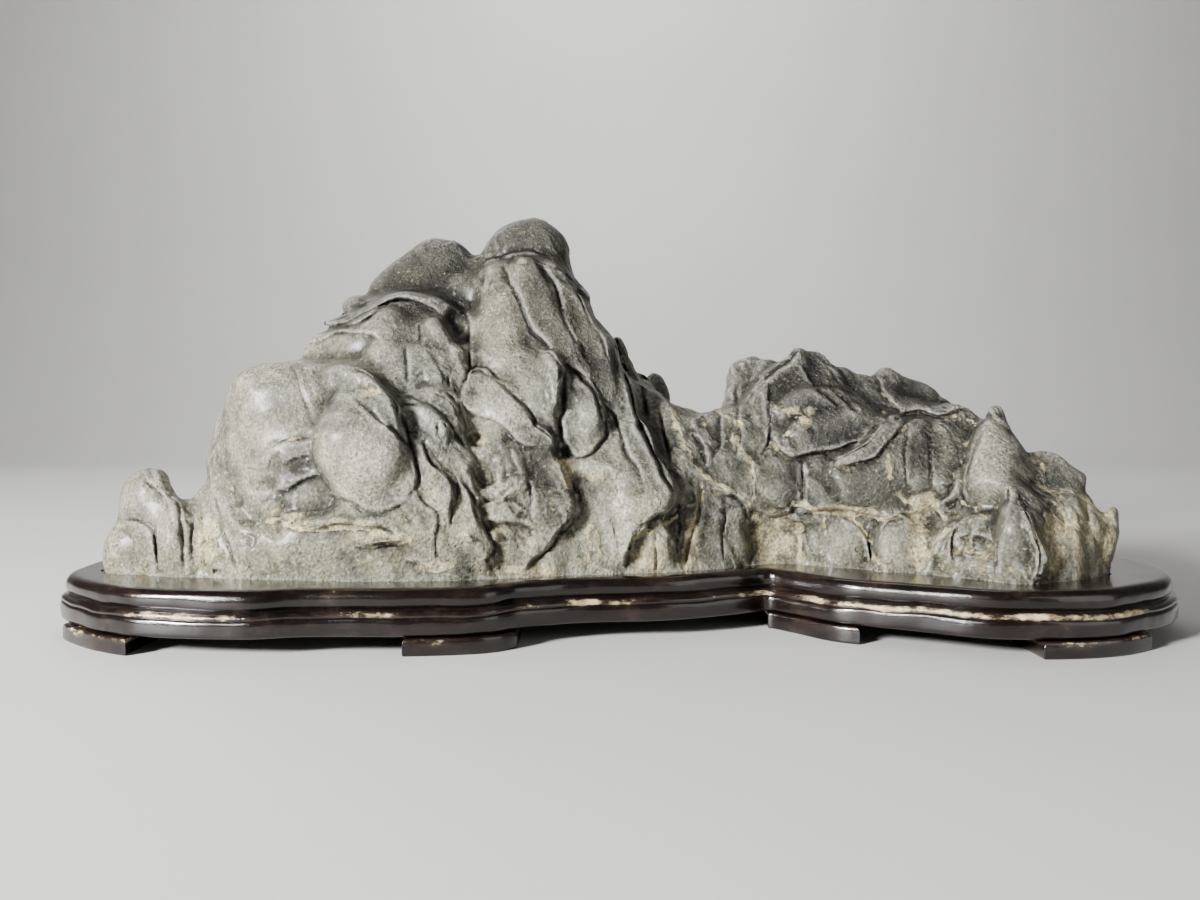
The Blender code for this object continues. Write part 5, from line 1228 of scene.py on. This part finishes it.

# The moulding's section, from the underside up: how far it stands out from the outline, height and pale wear
# (partly painted highlight)
SECTION = [
    (-6.0, 5.75, 0), (-1.5, 5.72, 0), (0.7, 5.74, 0), (1.4, 5.95, 0.1), (1.78, 6.5, 0.15),
    (1.92, 7.4, 0.05), (1.98, 8.6, 0), (1.98, 9.8, 0), (1.88, 10.7, 0.05), (1.70, 11.2, 0.2),
    (1.42, 11.5, 0.5), (1.66, 11.8, 0.9), (1.72, 12.3, 1), (1.50, 12.9, 1), (1.00, 13.35, 0.8),
    (0.20, 13.65, 0.4), (-0.55, 13.85, 0), (-0.72, 14.1, 0), (-0.50, 14.45, 0), (-0.10, 15.0, 0),
    (0.18, 15.8, 0), (0.28, 16.8, 0), (0.20, 17.8, 0), (-0.12, 18.7, 0.05), (-0.75, 19.5, 0.1),
    (-1.60, 20.05, 0.1), (-2.60, 20.33, 0), (-3.60, 20.38, 0), (-6.50, 20.30, 0), (-10.0, 20.28, 0),
]

# Stretches of the front where the pale wear, with its painted highlight, is widest, along x from start to
# end, and how much it is elsewhere
WORN_AND_LIT_STRETCHES = [(-158, -119), (-92, -68), (-20, 5), (37, 54), (58, 165)]
WORN_AND_LIT_ELSEWHERE = 0.30
WORN_AND_LIT_FADE = 8


def fine_outline(outset, steps=BOARD_STEPS):
    """The board's outline as a closed smooth run, let out by so much."""
    outset = outset - CURVE_ROOM
    closed = OUTLINE[-2:] + OUTLINE + OUTLINE[:2]
    run = smooth_run(closed, steps)[2 * steps:][:len(OUTLINE) * steps]
    way = np.roll(run, -1, axis=0) - np.roll(run, 1, axis=0)
    way /= np.linalg.norm(way, axis=1)[:, None]
    return run + np.stack([way[:, 1], -way[:, 0]], axis=-1) * np.reshape(outset, (-1, 1))


def add_rings(bm, rings):
    """A closed body through rings of as many points each, from the lowest up, in millimetres."""
    loops = [[bm.verts.new(point * MM) for point in ring] for ring in rings]
    for low, high in zip(loops, loops[1:]):
        for i, vert in enumerate(low):
            bm.faces.new((vert, low[(i + 1) % len(low)], high[(i + 1) % len(high)], high[i]))
    bm.faces.new(reversed(loops[0]))
    bm.faces.new(loops[-1])


def worn_and_lit_stretch(points):
    """How far into a worn and highlighted stretch of the front each point is, from 0 to 1."""
    found = np.full(len(points), WORN_AND_LIT_ELSEWHERE)
    for start, end in WORN_AND_LIT_STRETCHES:
        after = np.clip((points[:, 0] - start) / WORN_AND_LIT_FADE + 0.5, 0, 1)
        before = np.clip((end - points[:, 0]) / WORN_AND_LIT_FADE + 0.5, 0, 1)
        found = np.maximum(found, np.where(points[:, 1] < 0, after * before, 0))
    return found


def new_piece(name, bm, sharp_angle):
    """An object from the mesh, shaded smooth except across edges sharper than so many degrees."""
    bmesh.ops.recalc_face_normals(bm, faces=bm.faces)
    mesh = bpy.data.meshes.new(name)
    bm.to_mesh(mesh)
    bm.free()
    mesh.shade_smooth()
    mesh.set_sharp_from_angle(angle=math.radians(sharp_angle))
    obj = bpy.data.objects.new(name, mesh)
    bpy.context.scene.collection.objects.link(obj)
    return obj


def make_board():
    """The board: its moulding's section led round the outline, with the slight unevenness of handwork."""
    bm = bmesh.new()
    rings = []
    count = len(OUTLINE) * BOARD_STEPS
    for outset, height, _ in SECTION:
        flat = np.c_[fine_outline(outset), np.full(count, height)]
        carved = np.clip(1 - abs(outset - 1) / 4, 0, 1) * (UNEVEN * field(flat, UNEVEN_LENGTH, 21) - UNEVEN)
        flat[:, :2] = fine_outline(outset + np.minimum(carved, 0))
        edge = min(height - SECTION[0][1], SECTION[-1][1] - height)
        flat[:, 2] += np.clip(edge / 3, 0, 1) * RISE * field(flat * (1, 1, 0), RISE_LENGTH, 22)
        rings.append(flat)
    add_rings(bm, rings)
    board = new_piece("board", bm, 50)
    # Pale wear along the bead, partly painted highlight
    wear_and_highlight = np.repeat([share for _, _, share in SECTION], count)
    store(board.data, "wear_and_highlight", wear_and_highlight * worn_and_lit_stretch(mesh_arrays(board.data)[0]))
    return board


def cut_seat(board, stone):
    """Sinks the seat round the stone's base, a little clear of it."""
    points = mesh_arrays(stone.data)[0]
    base = points[points[:, 2] < STAND_TOP + SEAT_ABOVE]
    start = base[:, 0].min() - SEAT_FIT
    end = base[:, 0].max() + SEAT_FIT
    stations = np.linspace(start, end, round((end - start) / SEAT_STEP))
    front = []
    back = []
    for x in stations:
        across = base[np.abs(base[:, 0] - x) <= SEAT_STEP * 0.8, 1]
        if len(across):
            front.append((x, across.min() - SEAT_FIT))
            back.append((x, across.max() + SEAT_FIT))
    outline = np.array(front + back[::-1])
    bm = bmesh.new()
    heights = (SEAT_FLOOR, STAND_TOP + SEAT_CUTTER)
    add_rings(bm, [np.c_[outline, np.full(len(outline), height)] for height in heights])
    cutter = new_piece("seat", bm, 30)
    cut = board.modifiers.new("seat", "BOOLEAN")
    cut.operation = "DIFFERENCE"
    cut.object = cutter
    settle(board)
    board.data.set_sharp_from_angle(angle=math.radians(40))
    bpy.data.objects.remove(cutter)


board = make_board()
cut_seat(board, rock)

# The lacquer and the pale filler under it, mottled, and the brown of lacquer rubbed thin; the bare filler
# also stands for painted highlight
LACQUER = ((0.015, 0.009, 0.0075), (0.006, 0.0038, 0.0034), 45.0)
FILLER = ((0.72, 0.64, 0.42), (0.27, 0.205, 0.12), 240.0)
RUBBED_THIN = (0.11, 0.072, 0.050, 1)
LACQUER_RELIEF = 1.0 * MM


def lacquer_material():
    """Very dark brown lacquer, thin and then bare in ragged patches where the wear says so; the bare pale
    patches are partly wear and partly painted highlight.
    """
    made, tree, shader = new_material("lacquered_wood")
    place = add_node(tree, "TexCoord").outputs["Object"]
    stretched = add_node(tree, "Mapping", Vector=place, Scale=(1.0, 1.0, 2.2)).outputs["Vector"]
    rubbed = noise(tree, stretched, 95.0, 8.0, 0.72)
    wear_and_highlight = summed(tree, mark(tree, "wear_and_highlight"), 0.5, scaled(tree, rubbed, 1.9, -0.47))
    thin = scaled(tree, wear_and_highlight, 2.6, -1.35)
    bare = scaled(tree, wear_and_highlight, 4.2, -3.5)
    colour = blended(tree, scaled(tree, thin, 0.3), mottled(tree, *LACQUER), RUBBED_THIN)
    colour = blended(tree, bare, colour, mottled(tree, *FILLER))
    tree.links.new(colour, shader.inputs["Base Color"])
    tree.links.new(scaled(tree, bare, 0.35, 0.2), shader.inputs["Roughness"])
    tree.links.new(scaled(tree, bare, -0.6, 0.6), shader.inputs["Coat Weight"])
    shader.inputs["Coat Roughness"].default_value = 0.08
    dust = add_group(tree, grain, Grain_Scale=1400.0, Pit_Scale=700.0, Pits=0.3)["Height"]
    height = summed(tree, dust, 0.12, noise(tree, place, 85.0, 2.0, 0.4))
    bump = add_node(tree, "Bump", Strength=0.7, Distance=LACQUER_RELIEF, Height=height)
    tree.links.new(bump.outputs["Normal"], shader.inputs["Normal"])
    return made


lacquer = lacquer_material()
board.data.materials.append(lacquer)
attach(board, "root")
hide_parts("stand")


# ==== The feet ====
# Seven short blocks of the same wood, glued under the board's edge and lacquered with it. The upper edges are
# rounded and rubbed pale, with a painted highlight laid in with the wear.

FOOT_OUTSET = 2.8
FOOT_DEPTH = 24.0
FOOT_STEPS = 5
ROUNDING = 0.8
RUBBED_LIT_HEIGHT = 4.7
RUBBED_LIT_REACH = 1.0
RUBBED_LIT_FAR = 150

# The foot's section, from the floor up: height and how far it draws in
FOOT_SECTION = [
    (0, 0.5), (0.35, 0.12), (1.0, 0), (2.8, 0), (4.2, 0.05), (4.9, 0.3), (5.25, 0.7), (5.4, 1.3),
]

# Whether at the front, and where each begins and ends along x
FEET = {
    "foot_front_left": (True, -187, -150),
    "foot_front_mid_left": (True, -70, -33),
    "foot_front_mid_right": (True, 50, 78),
    "foot_front_right": (True, 123, 167),
    "foot_back_left": (False, -166, -128),
    "foot_back_middle": (False, -22, 22),
    "foot_back_right": (False, 126, 162),
}


def make_foot(name, front, start, end):
    """One foot, under the board's edge between start and end, with its upper edge rubbed pale toward the
    ends, partly as painted highlight.
    """
    outer = fine_outline(FOOT_OUTSET, FOOT_STEPS)
    side = (outer[:, 1] < 0) == front
    chosen = outer[side & (outer[:, 0] > start) & (outer[:, 0] < end)]
    chosen = chosen[np.argsort(chosen[:, 0])]
    inner = chosen[::-1].copy()
    inner[:, 1] += FOOT_DEPTH if front else -FOOT_DEPTH
    outline = np.vstack([chosen, inner])
    middle = outline.mean(axis=0)
    bm = bmesh.new()
    rings = []
    for height, shrink in FOOT_SECTION:
        away = outline - middle
        drawn = outline - away / np.abs(away).max(axis=0) * shrink
        rings.append(np.c_[drawn, np.full(len(drawn), height)])
    add_rings(bm, rings)
    foot = new_piece(name + "_carved", bm, 45)
    rounding = foot.modifiers.new("rounding", "BEVEL")
    rounding.width = ROUNDING * MM
    rounding.segments = 3
    rounding.limit_method = "ANGLE"
    rounding.angle_limit = math.radians(50)
    settle(foot)
    points = mesh_arrays(foot.data)[0]
    # Pale rubbed rim, partly wear and partly painted highlight
    rim = np.clip(1 - np.abs(points[:, 2] - RUBBED_LIT_HEIGHT) / RUBBED_LIT_REACH, 0, 1)
    store(foot.data, "wear_and_highlight", rim * (0.4 + 0.45 * np.clip(np.abs(points[:, 0]) / RUBBED_LIT_FAR, 0, 1)))
    foot.data.shade_smooth()
    foot.data.materials.append(lacquer)
    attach(foot, "root")
    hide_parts(name)


for name, sizes in FEET.items():
    make_foot(name, *sizes)


# ==== The floor, the light and the camera ====
# A plain pale studio table under soft light from the front left, seen from the front.

SWEEP_FRONT = 7.0
SWEEP_RADIUS = 0.9
SWEEP_BACK = 1.3
SWEEP_TOP = 3.0
SWEEP_HALF_WIDTH = 6.0
PAPER = ((0.66, 0.655, 0.64), (0.645, 0.64, 0.625), 5.0)


def make_sweep():
    """A floor that curves up into a wall behind."""
    turn = [math.radians(degree) for degree in range(0, 91, 5)]
    section = [(-SWEEP_FRONT, 0.0)]
    section += [(SWEEP_BACK + SWEEP_RADIUS * math.sin(a), SWEEP_RADIUS * (1 - math.cos(a))) for a in turn]
    section.append((SWEEP_BACK + SWEEP_RADIUS, SWEEP_TOP))
    bm = bmesh.new()
    sides = (-SWEEP_HALF_WIDTH, SWEEP_HALF_WIDTH)
    left, right = ([bm.verts.new((x, y, z)) for y, z in section] for x in sides)
    for k in range(len(section) - 1):
        bm.faces.new((left[k], right[k], right[k + 1], left[k + 1]))
    return new_piece("sweep", bm, 60)


sweep = make_sweep()
paper, paper_tree, paper_shader = new_material("pale_paper")
paper_tree.links.new(mottled(paper_tree, *PAPER), paper_shader.inputs["Base Color"])
paper_shader.inputs["Roughness"].default_value = 0.55
sweep.data.materials.append(paper)


# The softboxes: place, size, power and what each is aimed at, in metres and watts
MIDDLE = (0, 0, 0.06)
SOFTBOXES = {
    "key": ((-0.90, -0.85, 0.46), 0.22, 45, MIDDLE),
    "fill": ((1.1, -0.8, 0.45), 0.9, 3.6, MIDDLE),
    "rear": ((-0.5, 1.1, 1.0), 0.8, 2.5, MIDDLE),
    "backdrop": ((0, 0.9, 1.7), 1.2, 22, (0, 2.3, 0.7)),
}


def add_softbox(name, place, size, power, aim):
    """A square area lamp at a place, turned toward what it is aimed at."""
    light = bpy.data.lights.new(name, "AREA")
    light.size = size
    light.energy = power
    obj = bpy.data.objects.new(name, light)
    obj.location = place
    obj.rotation_euler = (Vector(aim) - Vector(place)).to_track_quat("-Z", "Y").to_euler()
    bpy.context.scene.collection.objects.link(obj)


for name, lamp in SOFTBOXES.items():
    add_softbox(name, *lamp)
world = bpy.data.worlds.new("studio")
world.use_nodes = True
world.node_tree.nodes["Background"].inputs["Color"].default_value = (0.6, 0.6, 0.6, 1)
world.node_tree.nodes["Background"].inputs["Strength"].default_value = 0.16
bpy.context.scene.world = world
bpy.context.scene.view_settings.look = "AgX - Medium High Contrast"

camera_data = bpy.data.cameras.new("camera")
camera_data.lens = 30
camera_data.sensor_width = 36
camera = bpy.data.objects.new("camera", camera_data)
camera.location = EYE * MM
camera.rotation_euler = (math.radians(88.4), 0, 0)
bpy.context.scene.collection.objects.link(camera)
bpy.context.scene.camera = camera
